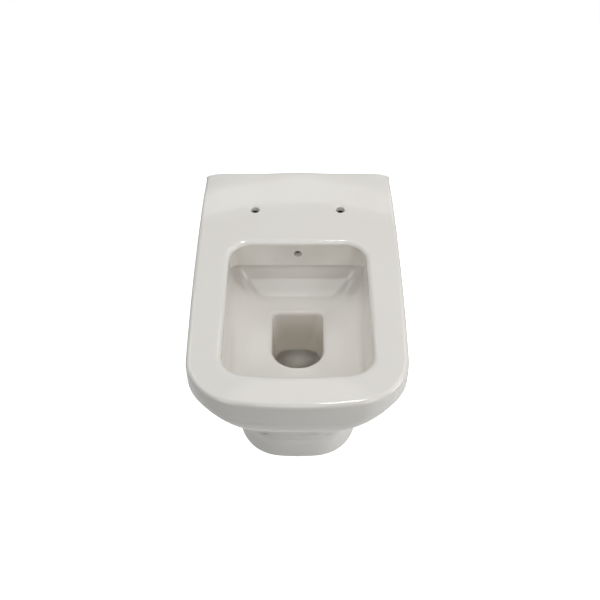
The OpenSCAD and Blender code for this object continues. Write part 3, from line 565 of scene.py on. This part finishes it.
def stadium(name, half, depth, y, low, high, ends=24):
    """An upright slot with round ends, for the chamber behind the curtain."""
    r = depth / 2
    flat = [(side * (half - r) + r * math.sin(a) * side, y + r - r * math.cos(a) * side)
            for side in (1, -1) for a in np.linspace(0, math.pi, ends)]
    work = bmesh.new()
    base = [work.verts.new((x * MM, v * MM, low * MM)) for x, v in flat]
    top = [work.verts.new((x * MM, v * MM, high * MM)) for x, v in flat]
    work.faces.new(base)
    work.faces.new(top[::-1])
    for i in range(len(flat)):
        j = (i + 1) % len(flat)
        work.faces.new((base[j], base[i], top[i], top[j]))
    bmesh.ops.recalc_face_normals(work, faces=work.faces[:])
    return kept(name, work)


# %% Cut the pan
horn_start = -SLOPE_BACK + BOWL_T / 2
horn_l = -INLET_END - horn_start
horn_r = INLET_R + INLET_T
horn = turned("horn", [(0, 0), (horn_r, 0), (horn_r, horn_l - HORN_BEVEL),
                       (horn_r - HORN_BEVEL, horn_l), (0, horn_l)],
              (0, horn_start, INLET_Z), (0, 1, 0))
combined(pan, [horn], "UNION")
seat_top = RIM_H + float(deck(np.array([[SEAT_PITCH / 2, -SEAT_Y]]))[0])
cutters = [block("wall", (-PAN_W, -MAT_T, -PAN_H), (PAN_W, WALL_CUT, PAN_H))]
cutters.append(stadium("chamber", CHAMBER_W / 2, -SLOPE_BACK - CURTAIN_Y - CURTAIN_T,
                       CURTAIN_Y + CURTAIN_T, RIM_H - CURTAIN_H - CHAMBER_CUT,
                       RIM_H - CHAMBER_ROOF))
cutters.append(turned("inlet", [(0, 0), (INLET_R, 0), (INLET_R, SLOPE_BACK), (0, SLOPE_BACK)],
                      (0, -SLOPE_BACK - INLET_CUT, INLET_Z), (0, 1, 0)))
for side in (-1, 1):
    cutters.append(turned("seat_hole", trumpet(SEAT_R, SEAT_HOLE_L, SEAT_FLARE),
                          (side * SEAT_PITCH / 2, -SEAT_Y, seat_top), (0, 0, 1)))
cutters.append(turned("jet", trumpet(JET_R, 2.2 * CURTAIN_T, JET_FLARE),
                      (0, CURTAIN_Y, RIM_H - JET_DEPTH), (0, -1, 0), steps=64))
bush_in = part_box("side_bush_right")[0].x / MM
flange_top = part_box("side_bush_right")[1].x / MM
spot_x = flange_top - FLANGE_T
for side in (-1, 1):
    cutters.append(turned(
        "side_hole", [(0, 0), (BUSH_HOLE_R, 0), (BUSH_HOLE_R, spot_x - bush_in),
                      (FLANGE_HOLE_R, spot_x - bush_in), (FLANGE_HOLE_R, SIDE_CUT), (0, SIDE_CUT)],
        (side * bush_in, -SIDE_Y, 0), (side, 0, 0)))
combined(pan, cutters, "DIFFERENCE")
print("faces of the cut pan:", len(pan.data.polygons))

# %% [markdown]
# ## Finishes
# A finish is a set of nodes. To keep the sums readable, one small class wraps a socket, so that
# Python's own signs build the Math nodes. One method makes every other kind of node. The same
# two tools serve the geometry trees further down.


# %% Helper: sums on sockets
class Value:
    """A socket that takes part in sums."""

    def __init__(self, maker, socket):
        self.maker, self.socket = maker, socket

    def sum(self, operation, *values):
        return self.maker.node("ShaderNodeMath", {"operation": operation},
                               dict(enumerate(values)))

    def __add__(self, other):
        return self.sum("ADD", self, other)

    def __sub__(self, other):
        return self.sum("SUBTRACT", self, other)

    def __rsub__(self, other):
        return self.sum("SUBTRACT", other, self)

    def __mul__(self, other):
        return self.sum("MULTIPLY", self, other)

    def __truediv__(self, other):
        return self.sum("DIVIDE", self, other)

    __radd__, __rmul__ = __add__, __mul__

    def ramp(self, low, high):
        """0 at low and 1 at high, with a soft step between. Low may be the larger one."""
        return self.maker.node("ShaderNodeMapRange", {"interpolation_type": "SMOOTHSTEP"},
                               {"Value": self, "From Min": low, "From Max": high})


class Maker:
    """Adds nodes to a tree."""

    def __init__(self, tree):
        self.tree = tree

    def node(self, kind, settings=None, sockets=None, out=0):
        made = self.tree.nodes.new(kind)
        for name, setting in (settings or {}).items():
            setattr(made, name, setting)
        for name, value in (sockets or {}).items():
            self.feed(made.inputs[name], value)
        return Value(self, made.outputs[out]) if len(made.outputs) else made

    def feed(self, socket, value):
        if isinstance(value, Value):
            self.tree.links.new(value.socket, socket)
        else:
            socket.default_value = value


# %% Helper: a finish
class Finish(Maker):
    """A material whose patterns lie on Object coordinates."""

    def __init__(self, name):
        self.material = bpy.data.materials.new(name)
        self.material.use_nodes = True
        super().__init__(self.material.node_tree)
        self.tree.nodes.clear()
        self.place = self.node("ShaderNodeTexCoord", out="Object")

    def noise(self, scale, detail=2.0, rough=0.5):
        return self.node("ShaderNodeTexNoise", None,
                         {"Vector": self.place, "Scale": scale, "Detail": detail,
                          "Roughness": rough}, "Fac")

    def tint(self, factor, one, two):
        """A colour between two, by a factor from 0 to 1. The first may come from a node."""
        one = one if isinstance(one, Value) else (*one, 1)
        return self.node("ShaderNodeMix", {"data_type": "RGBA"},
                         {0: factor, 6: one, 7: (*two, 1)}, 2)

    def bump(self, height, strength, distance, under=None):
        """Small relief from a height, over another bump if there is one."""
        sockets = {"Height": height, "Strength": strength, "Distance": distance}
        if under is not None:
            sockets["Normal"] = under
        return self.node("ShaderNodeBump", None, sockets)

    def finish(self, **sockets):
        """Closes the material with one Principled shader."""
        names = {name.replace("_", " ").title().replace("Ior", "IOR"): value
                 for name, value in sockets.items()}
        surface = self.node("ShaderNodeBsdfPrincipled", None, names)
        self.node("ShaderNodeOutputMaterial", None, {"Surface": surface})
        return self.material


# %% [markdown]
# ## Glazed china
# The glaze is a clear glass over a warm white body. It pools into very shallow waves, so its
# reflections wander a little. It is a touch glossier where it lies thick, and along tight edges
# it draws thin. Two round patches in the sump are painted light and shade: a darker, warmer
# painted shade on the sump's wall, and a lighter, warmer painted light at its foot, less dark
# than a dip would be. The strip that faces the wall is wiped clean before firing, because glaze
# would stick there, so it stays dull and chalky.

# %% Glaze
GLAZE, GLAZE_WARM = (0.86, 0.84, 0.80), (0.85, 0.825, 0.775)
# Painted shade for the sump's wall, and painted light for the sump's foot
SUMP_PAINTED_SHADE, DIP_PAINTED_LIGHT = (0.76, 0.71, 0.64), (0.97, 0.93, 0.86)
BISQUE = (0.74, 0.72, 0.67)
# Middles of the patches of painted shade and painted light in metres,
# and the distances between which they fade in
SUMP_WALL, SUMP_WALL_FADE = (0, -0.215, -0.132), (0.085, 0.025)
DIP, DIP_FADE = (0, -0.25, -0.24), (0.08, 0.07)
WIPED_FROM, WIPED_BY = -0.0036, -0.0032


def glaze():
    f = Finish("glazed_china")
    clouds = f.noise(7, 3, 0.55)
    pools = f.noise(38, 2, 0.5)
    edge = f.node("ShaderNodeNewGeometry", out="Pointiness").ramp(0.505, 0.56)
    tone = f.tint(clouds.ramp(0.35, 0.7), GLAZE, GLAZE_WARM)
    y = f.node("ShaderNodeSeparateXYZ", None, {"Vector": f.place}, "Y")
    bare = y.ramp(WIPED_FROM, WIPED_BY)
    wall, dip = [f.node("ShaderNodeVectorMath", {"operation": "DISTANCE"},
                        {0: f.place, 1: middle}, "Value") for middle in (SUMP_WALL, DIP)]
    # Painted shade darkens the sump's wall, painted light brightens its foot, and the wiped strip
    # turns to bisque
    for share, shade in ((wall.ramp(*SUMP_WALL_FADE), SUMP_PAINTED_SHADE),
                         (dip.ramp(*DIP_FADE), DIP_PAINTED_LIGHT), (bare, BISQUE)):
        tone = f.tint(share, tone, shade)
    wave = f.bump(f.noise(22, 1, 0.4), 0.008, 0.001)
    skin_bump = f.bump(f.noise(420, 1, 0.5), 0.01, 0.0001, wave)
    return f.finish(base_color=tone, roughness=0.015 + pools * 0.02 + edge * 0.02 + bare * 0.6,
                    ior=1.52, normal=skin_bump)


def dress(piece, material, smooth):
    """Gives a piece one finish and smooth faces, with sharp edges above an angle."""
    piece.data.materials.clear()
    piece.data.materials.append(material)
    piece.data.shade_smooth()
    piece.data.set_sharp_from_angle(angle=math.radians(smooth))


china = glaze()
print("glaze nodes:", len(china.node_tree.nodes))

# %% [markdown]
# ## Finishes of the hidden parts
# Foam, rubber, moulded plastic and plated steel make up the rest. Each has the grain that its
# making leaves: cells in foam, a bloom on rubber, fine mould texture on plastic, spangle on
# zinc and turning marks on screws.


# %% Foam, rubber and plastics
def foam():
    f = Finish("closed_cell_foam")
    cells = f.node("ShaderNodeTexVoronoi", None, {"Vector": f.place, "Scale": 900}, "Distance")
    tone = f.tint(f.noise(60, 3), (0.60, 0.61, 0.63), (0.70, 0.71, 0.72))
    return f.finish(base_color=tone, roughness=0.85 + f.noise(300) * 0.1,
                    normal=f.bump(cells, 0.35, 0.0004))


def rubber():
    f = Finish("black_rubber")
    bloom = f.noise(90, 4, 0.6).ramp(0.45, 0.75)
    tone = f.tint(bloom, (0.018, 0.018, 0.02), (0.045, 0.045, 0.048))
    return f.finish(base_color=tone, roughness=0.5 + bloom * 0.25,
                    normal=f.bump(f.noise(1500, 2), 0.15, 0.0001))


def plastic(name, one, two, rough, grain=0.08):
    f = Finish(name)
    cloud = f.noise(30, 3, 0.5)
    return f.finish(base_color=f.tint(cloud, one, two), roughness=rough + f.noise(200, 2) * 0.12,
                    normal=f.bump(f.noise(1800, 2), grain, 0.0001))


def metal(name, one, two, rough, spangle):
    f = Finish(name)
    flakes = f.node("ShaderNodeTexVoronoi", None, {"Vector": f.place, "Scale": spangle}, "Color")
    flake = f.node("ShaderNodeSeparateColor", None, {"Color": flakes})
    scratch = f.noise(1200, 3, 0.7)
    return f.finish(base_color=f.tint(flake * 0.7 + f.noise(80) * 0.3, one, two), metallic=1.0,
                    roughness=rough + flake * 0.12 + scratch * 0.1,
                    normal=f.bump(scratch, 0.06, 0.0001))


foam_grey, black_rubber = foam(), rubber()
white_pipe = plastic("white_pipe_plastic", (0.80, 0.80, 0.77), (0.74, 0.74, 0.71), 0.32)
waste_grey = plastic("waste_pipe_plastic", (0.035, 0.036, 0.04), (0.06, 0.06, 0.065), 0.36, 0.12)
bush_white = plastic("bush_plastic", (0.76, 0.76, 0.74), (0.70, 0.70, 0.68), 0.4)
cap_white = plastic("cap_plastic", (0.80, 0.785, 0.75), (0.78, 0.765, 0.73), 0.12, 0.02)
zinc = metal("zinc_plate", (0.62, 0.64, 0.66), (0.48, 0.50, 0.53), 0.28, 260)
steel = metal("stainless_steel", (0.62, 0.61, 0.59), (0.55, 0.54, 0.53), 0.2, 900)
print("finishes:", len(bpy.data.materials))

# %% [markdown]
# ## Pipes, seals, bushes and caps
# All of these are turned shapes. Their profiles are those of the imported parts, with the corners
# rounded as moulding rounds them.

# %% Flush pipe and its sleeve
FLUSH_R, FLUSH_T, FLUSH_IN, FLUSH_OUT = 22.5, 2, 60, 40
COLLAR_H, COLLAR_W, SEAL_PLAY, SEAL_RIM = 3, 2, 0.05, 1


def placed(piece, body_name, slot, material, *nodes, smooth=35):
    """Dresses a piece, ties it to its body and lets it stand for its nodes."""
    dress(piece, material, smooth)
    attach(piece, body_name)
    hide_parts(*nodes)


bore = FLUSH_R - FLUSH_T
pipe = turned("flush_tube", [
    (bore, -FLUSH_IN), (FLUSH_R, -FLUSH_IN), (FLUSH_R, -COLLAR_H), (FLUSH_R + COLLAR_W, -COLLAR_H),
    (FLUSH_R + COLLAR_W, 0), (FLUSH_R, 0), (FLUSH_R, FLUSH_OUT), (bore, FLUSH_OUT)],
    (0, 0, INLET_Z), (0, 1, 0), soft=0.6)
placed(pipe, "flush_pipe", "flush_plastic", white_pipe, "flush_pipe")

SEAL_L, LIP_W, GROOVE = 34, 3, 2.5
grip, outer, root = FLUSH_R + SEAL_PLAY, INLET_R - SEAL_PLAY, -INLET_END - SEAL_L
pitch = (SEAL_L - LIP_W) / 3
collar = outer + INLET_T - SEAL_RIM
profile = [(grip, -INLET_END + COLLAR_H), (collar, -INLET_END + COLLAR_H),
           (collar, -INLET_END), (outer, -INLET_END), (outer, root)]
for k in range(3):
    low = root + LIP_W + k * pitch
    profile += [(grip, low - LIP_W), (grip, low), (grip + GROOVE, low),
                (grip + GROOVE, low + pitch - LIP_W), (grip, low + pitch - LIP_W)]
sleeve = turned("inlet_sleeve", profile, (0, 0, INLET_Z), (0, 1, 0), soft=0.5)
placed(sleeve, "pan", "seal_rubber", black_rubber, "inlet_seal")
print("the sleeve grips the pipe at", grip, "mm radius")

# %% Outlet connector and its seal
WASTE_R, WASTE_T, WASTE_OUT, SEAL_T, SEAL_W = 45, 3.5, 80, 5, 16
SOCKET_L, LEAD_IN, STOP_W, SEAL_STEP, SHOULDER_GAP = 36, 4, 3.5, 2, 1
socket_in = SPIGOT_R + SEAL_T
socket_out = socket_in + WASTE_T
mouth_y, shoulder = -SPIGOT_END - SOCKET_L, -MAT_T - SHOULDER_GAP
cone = shoulder + socket_out - WASTE_R
connector = turned("waste_connector", [
    (socket_in, mouth_y + LEAD_IN), (socket_in + WASTE_T * 0.6, mouth_y), (socket_out, mouth_y),
    (socket_out, shoulder), (WASTE_R, cone), (WASTE_R, WASTE_OUT), (WASTE_R - WASTE_T, WASTE_OUT),
    (WASTE_R - WASTE_T, cone - WASTE_T), (socket_in - STOP_W, shoulder - WASTE_T / 2),
    (socket_in - STOP_W, shoulder - WASTE_T), (socket_in, shoulder - WASTE_T)],
    (0, 0, OUTLET_Z), (0, 1, 0), soft=1.0)
placed(connector, "outlet_connector", "waste_plastic", waste_grey, "outlet_connector")

grip, held, lip = SPIGOT_R + SEAL_PLAY, socket_in - SEAL_PLAY, 2
y0 = mouth_y + LEAD_IN + SEAL_STEP
y1 = y0 + SEAL_W
ring = turned("waste_seal", [(grip, y0), (held, y0), (held, y1), (held - lip, y1),
                             (held - lip, y0 + 2 * lip), (grip + lip, y1 - lip),
                             (grip, y1 - 2 * lip)], (0, 0, OUTLET_Z), (0, 1, 0), soft=0.5)
placed(ring, "outlet_connector", "seal_rubber", black_rubber, "outlet_seal")
print("seal", SEAL_W, "mm wide in a socket of", socket_in, "mm radius")

# %% Bushes and caps
POCKET_R, BUSH_R, FLANGE_R, SCREW_R, SEAT_DEPTH, DOME = 9, 12, 15, 4, 7.0, 2.5
SCREW_PLAY, RING_PLAY, RING_T, RING_L, CAP_HOLLOW = 0.5, 0.2, 1.2, 2.6, 0.6
ring_out = POCKET_R - RING_PLAY
ring_in = ring_out - RING_T
for side, name in ((-1, "left"), (1, "right")):
    start, axis = (0, -SIDE_Y, 0), (side, 0, 0)
    bush = turned("bush_" + name, [
        (SCREW_R + SCREW_PLAY, bush_in), (BUSH_R, bush_in), (BUSH_R, spot_x), (FLANGE_R, spot_x),
        (FLANGE_R, flange_top), (POCKET_R, flange_top), (POCKET_R, spot_x - SEAT_DEPTH),
        (SCREW_R + SCREW_PLAY, spot_x - SEAT_DEPTH)], start, axis, soft=0.5)
    placed(bush, "pan", "bush_plastic", bush_white, "side_bush_" + name)
    cap = turned("cap_" + name, [
        (0, flange_top + CAP_HOLLOW), (ring_in, flange_top + CAP_HOLLOW),
        (ring_in, flange_top - RING_L), (ring_out, flange_top - RING_L),
        (ring_out, flange_top), (FLANGE_R, flange_top), (FLANGE_R, flange_top + DOME * 0.4),
        (FLANGE_R - 2, flange_top + DOME * 0.8), (FLANGE_R / 2, flange_top + DOME),
        (0, flange_top + DOME)], start, axis, soft=0.7)
    placed(cap, "screw_cap_" + name, "cap_plastic", cap_white, "screw_cap_" + name)
print("the caps stand out by", DOME, "mm")

# %% [markdown]
# ## Threads
# A thread is a rule: the radius falls and rises with the height along the axis minus the turn
# round it. So a geometry tree makes a plain rod with many rings and moves each point in or out
# by that rule. The same tree, with other inputs, makes every threaded rod.


# %% Threaded rod tree
def rod_tree():
    """A tree that makes a threaded rod along Z. All its sizes are inputs, in metres."""
    tree = bpy.data.node_groups.new("threaded_rod", "GeometryNodeTree")
    face = tree.interface
    for name in ("Length", "Radius", "Pitch", "Depth", "Chamfer"):
        face.new_socket(name, in_out="INPUT", socket_type="NodeSocketFloat")
    face.new_socket("Rings", in_out="INPUT", socket_type="NodeSocketInt")
    face.new_socket("Finish", in_out="INPUT", socket_type="NodeSocketMaterial")
    face.new_socket("Geometry", in_out="OUTPUT", socket_type="NodeSocketGeometry")
    g = Maker(tree)
    given = tree.nodes.new("NodeGroupInput")
    size = {s.name: Value(g, s) for s in given.outputs if s.name}
    rod = g.node("GeometryNodeMeshCylinder", {"fill_type": "NGON"},
                 {"Vertices": 32, "Side Segments": size["Rings"], "Radius": size["Radius"],
                  "Depth": size["Length"]})
    place = g.node("GeometryNodeInputPosition")
    x, y, z = (g.node("ShaderNodeSeparateXYZ", None, {0: place}, k) for k in range(3))
    angle = g.node("ShaderNodeMath", {"operation": "ARCTAN2"}, {0: y, 1: x})
    turns = z / size["Pitch"] - angle / (2 * math.pi)
    saw = g.node("ShaderNodeMath", {"operation": "PINGPONG"}, {0: turns, 1: 0.5}) * 2
    end = size["Length"] * 0.5 - g.node("ShaderNodeMath", {"operation": "ABSOLUTE"}, {0: z})
    short = g.node("ShaderNodeMath", {"operation": "MAXIMUM"},
                   {0: size["Chamfer"] - end, 1: size["Depth"] * saw})
    share = 1 - short / size["Radius"]
    moved = g.node("ShaderNodeCombineXYZ", None, {0: x * share, 1: y * share, 2: z})
    shaped = g.node("GeometryNodeSetPosition", None, {"Geometry": rod, "Position": moved})
    real = g.node("GeometryNodeRealizeInstances", None, {0: shaped})
    done = g.node("GeometryNodeSetMaterial", None, {"Geometry": real, "Material": size["Finish"]})
    leave = tree.nodes.new("NodeGroupOutput")
    g.feed(leave.inputs[0], done)
    return tree


def grown(name, tree, inputs, matrix):
    """Runs a geometry tree with its inputs set, and keeps the result as a plain mesh."""
    piece = linked(name, bpy.data.meshes.new(name))
    change = piece.modifiers.new("grow", "NODES")
    change.node_group = tree
    by_name = {s.name: s.identifier for s in tree.interface.items_tree if s.in_out == "INPUT"}
    for key, value in inputs.items():
        change[by_name[key]] = value
    plain(piece).data.transform(matrix)
    return piece


threaded = rod_tree()
for side, name in ((-1, "left"), (1, "right")):
    middle = Matrix.Translation(Vector((side * STUD_X, (STUD_OUT - STUD_IN) / 2, 0)) * MM)
    stud = grown("threaded_stud_" + name, threaded, {
        "Length": (STUD_IN + STUD_OUT) * MM, "Radius": STUD_R * MM, "Pitch": THREAD_PITCH * MM,
        "Depth": THREAD_DEPTH * MM, "Chamfer": THREAD_CHAMFER * MM, "Rings": THREAD_RINGS,
        "Finish": zinc},
        middle @ Matrix.Rotation(-math.pi / 2, 4, "X"))
    placed(stud, "pan", "zinc_steel", zinc, "stud_" + name, smooth=25)
    print(stud.name, "faces:", len(stud.data.polygons))

# %% [markdown]
# ## Plates, nuts and screws
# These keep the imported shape. The loose triangles of a copy are merged, its sharp edges get the
# small round that stamping and plating leave, and the copy stands for the node. The last cell
# lets the pan stand for its five castings.


# %% Softened hardware
def softened(node, name, width):
    """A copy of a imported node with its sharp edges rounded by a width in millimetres."""
    piece = linked(name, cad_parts[node].data.copy())
    work = bmesh.new()
    work.from_mesh(piece.data)
    bmesh.ops.remove_doubles(work, verts=work.verts[:], dist=TINY)
    bmesh.ops.dissolve_limit(work, angle_limit=math.radians(1), verts=work.verts[:],
                             edges=work.edges[:])
    work.to_mesh(piece.data)
    work.free()
    edge = piece.modifiers.new("edge", "BEVEL")
    edge.width, edge.segments, edge.limit_method = width * MM, 2, "ANGLE"
    edge.angle_limit = math.radians(30)
    return plain(piece)


HARDWARE = (("bracket", "bracket_plate", "zinc_steel", zinc, 0.5, "pan"),
            ("stud_washer", "washer", "zinc_steel", zinc, 0.25, "pan"),
            ("stud_nut", "nut", "zinc_steel", zinc, 0.5, "pan"),
            ("weld_nut", "arm_nut", "zinc_steel", zinc, 0.4, "pan"),
            ("clamp_washer", "small_washer", "screw_steel", steel, 0.2, None),
            ("clamp_screw", "side_screw", "screw_steel", steel, 0.25, None))
for side in ("left", "right"):
    for node, name, slot, finish_of, width, rides in HARDWARE:
        piece = softened(f"{node}_{side}", f"{name}_{side}", width)
        placed(piece, rides or f"{node}_{side}", slot, finish_of, f"{node}_{side}")
mat = softened("wall_mat", "mat_sheet", 0.3)
placed(mat, "pan", "mat_foam", foam_grey, "wall_mat")
print("softened pieces:", 2 * len(HARDWARE) + 1)

# %% The pan rides too
placed(pan, "pan", "glazed_china", china, "rim_casting", "skirt_casting", "bowl_casting",
       "trap_casting", "outlet_casting", smooth=30)
print("faces of the dressed pan:", len(pan.data.polygons))

# %% [markdown]
# ## Camera, floor and sky
# The camera stands where the photographer's seems to have stood: in front of the pan, 45
# degrees above, about 1.5 metres off. Its place and lens were fitted to the rim, the holes and
# the outline. The floor is a plain matt disc. Its glow is for rays from the camera, and weaker
# for mirrored ones, so it shows white and still keeps the shadow. The sky does the same.

# %% Camera
AIM = Vector((0, -0.3, 0.05))
CAMERA_PLACE, CAMERA_TILT = (0.004, -1.3594, 1.1219), math.radians(45)
FOCAL_LENGTH, SENSOR_W, NEAR, FAR = 54, 36, 0.05, 50

lens = bpy.data.cameras.new("camera")
lens.lens, lens.sensor_width = FOCAL_LENGTH, SENSOR_W
lens.clip_start, lens.clip_end = NEAR, FAR
camera = linked("camera", lens)
camera.location = CAMERA_PLACE
camera.rotation_euler = (CAMERA_TILT, 0, 0)
bpy.context.scene.camera = camera
print("camera:", round((camera.location - AIM).length, 2), "m from the middle of the pan")

# %% Floor
FLOOR_Z, FLOOR_R, FLOOR_GLOW = -0.42, 4, 0.85
FLOOR_MIRRORED, SKY_MIRRORED = 0.2, 0.5


def background(maker, mirrored):
    """1 for rays from the camera, and a level for mirrored ones and those through glass."""
    seen, gloss, glass = [maker.node("ShaderNodeLightPath", out=f"Is {kind} Ray")
                          for kind in ("Camera", "Glossy", "Transmission")]
    return seen + (gloss + glass) * mirrored


def floor_finish():
    f = Finish("pale_floor")
    matt = f.node("ShaderNodeBsdfDiffuse", None, {"Color": (0.8, 0.8, 0.8, 1)})
    glow = f.node("ShaderNodeEmission", None,
                  {"Color": (1, 1, 1, 1), "Strength": background(f, FLOOR_MIRRORED) * FLOOR_GLOW})
    both = f.node("ShaderNodeAddShader", None, {0: matt, 1: glow})
    f.node("ShaderNodeOutputMaterial", None, {"Surface": both})
    return f.material


work = bmesh.new()
bmesh.ops.create_circle(work, cap_ends=True, segments=96, radius=FLOOR_R)
work.transform(Matrix.Translation((0, AIM.y, FLOOR_Z)))
floor = kept("floor", work)
floor.data.materials.append(floor_finish())
print("the floor lies", round(-FLOOR_Z / MM + FOOT_Z), "mm below the foot")

# %% Sky
world = bpy.data.worlds.new("studio")
bpy.context.scene.world = world
world.use_nodes = True
air = Maker(world.node_tree)
air.tree.nodes.clear()
sky = air.node("ShaderNodeBackground", None,
               {"Color": (1, 1, 1, 1), "Strength": background(air, SKY_MIRRORED)})
air.node("ShaderNodeOutputWorld", None, {"Surface": sky})
print("mirrored rays find the sky at", SKY_MIRRORED, "and the floor at",
      round(FLOOR_MIRRORED * FLOOR_GLOW, 2))

# %% [markdown]
# ## Lamps
# In the photograph the curtain throws a fairly sharp shadow on the rear slope, and small bright
# spots sit on the front rim and in the left valley. That asks for one compact key almost
# straight above, a little to the right. Soft discs all around fill the rest. The ones at the
# right are stronger, because there the rim is brighter and the belly catches more light. Each
# row of the table has a lamp's place and width in metres and its power in watts. The powers
# were fitted to the photograph's tones.

# %% Soft discs
LAMPS = {
    "key": ((0.22, -0.08, 1.55), 0.3, 5.7),
    "ramp": ((0, 0.36, 1.64), 0.8, 1.4),
    "front": ((0, -1.94, 1.84), 1.0, 5.0),
    "front_right": ((1.16, -1.68, 1.34), 0.9, 7.6),
    "front_left": ((-1.16, -1.68, 1.34), 0.9, 5.4),
    "right": ((1.96, -0.65, 0.29), 1.0, 9.8),
    "left": ((-1.9, 0.35, 0.5), 1.0, 2.5),
    "high_right": ((1.41, -0.3, 1.49), 1.0, 4.2),
    "high_left": ((-1.41, -0.3, 1.49), 1.0, 4.2),
    "back_right": ((1.0, 0.7, 1.49), 1.0, 4.0),
    "back_left": ((-1.0, 0.7, 1.49), 1.0, 3.8),
    "low_right": ((1.54, -1.84, -0.23), 1.0, 3.0)}


def lamp(name, kind, place, aim, power):
    """A lamp that points at a spot. Its width is set by the caller."""
    light = bpy.data.lights.new(name, kind)
    light.energy = power
    piece = linked(name, light)
    piece.location = place
    piece.rotation_euler = (aim - Vector(place)).to_track_quat("-Z", "Y").to_euler()
    return light


for name, (place, size, power) in LAMPS.items():
    disc = lamp(name, "AREA", place, AIM, power)
    disc.shape, disc.size = "DISK", size
print(len(LAMPS), "discs,", round(sum(row[2] for row in LAMPS.values()), 1), "W")

# %% [markdown]
# The foot of the sump sees little of any disc. A thin beam with a soft edge, from above the
# camera, reaches it and touches little else.

# %% Beam into the sump
BEAM_PLACE, SUMP_FOOT = (0.05, -1.44, 1.2), Vector((0, -0.214, -0.195))
BEAM_POWER, BEAM_ANGLE, BEAM_R = 24, math.radians(1.6), 0.02

beam = lamp("sump_beam", "SPOT", BEAM_PLACE, SUMP_FOOT, BEAM_POWER)
beam.spot_size, beam.spot_blend, beam.shadow_soft_size = BEAM_ANGLE, 1, BEAM_R
bpy.context.scene.view_settings.view_transform = "Standard"
print("beam width at the sump:",
      round((SUMP_FOOT - Vector(BEAM_PLACE)).length * BEAM_ANGLE / MM), "mm")
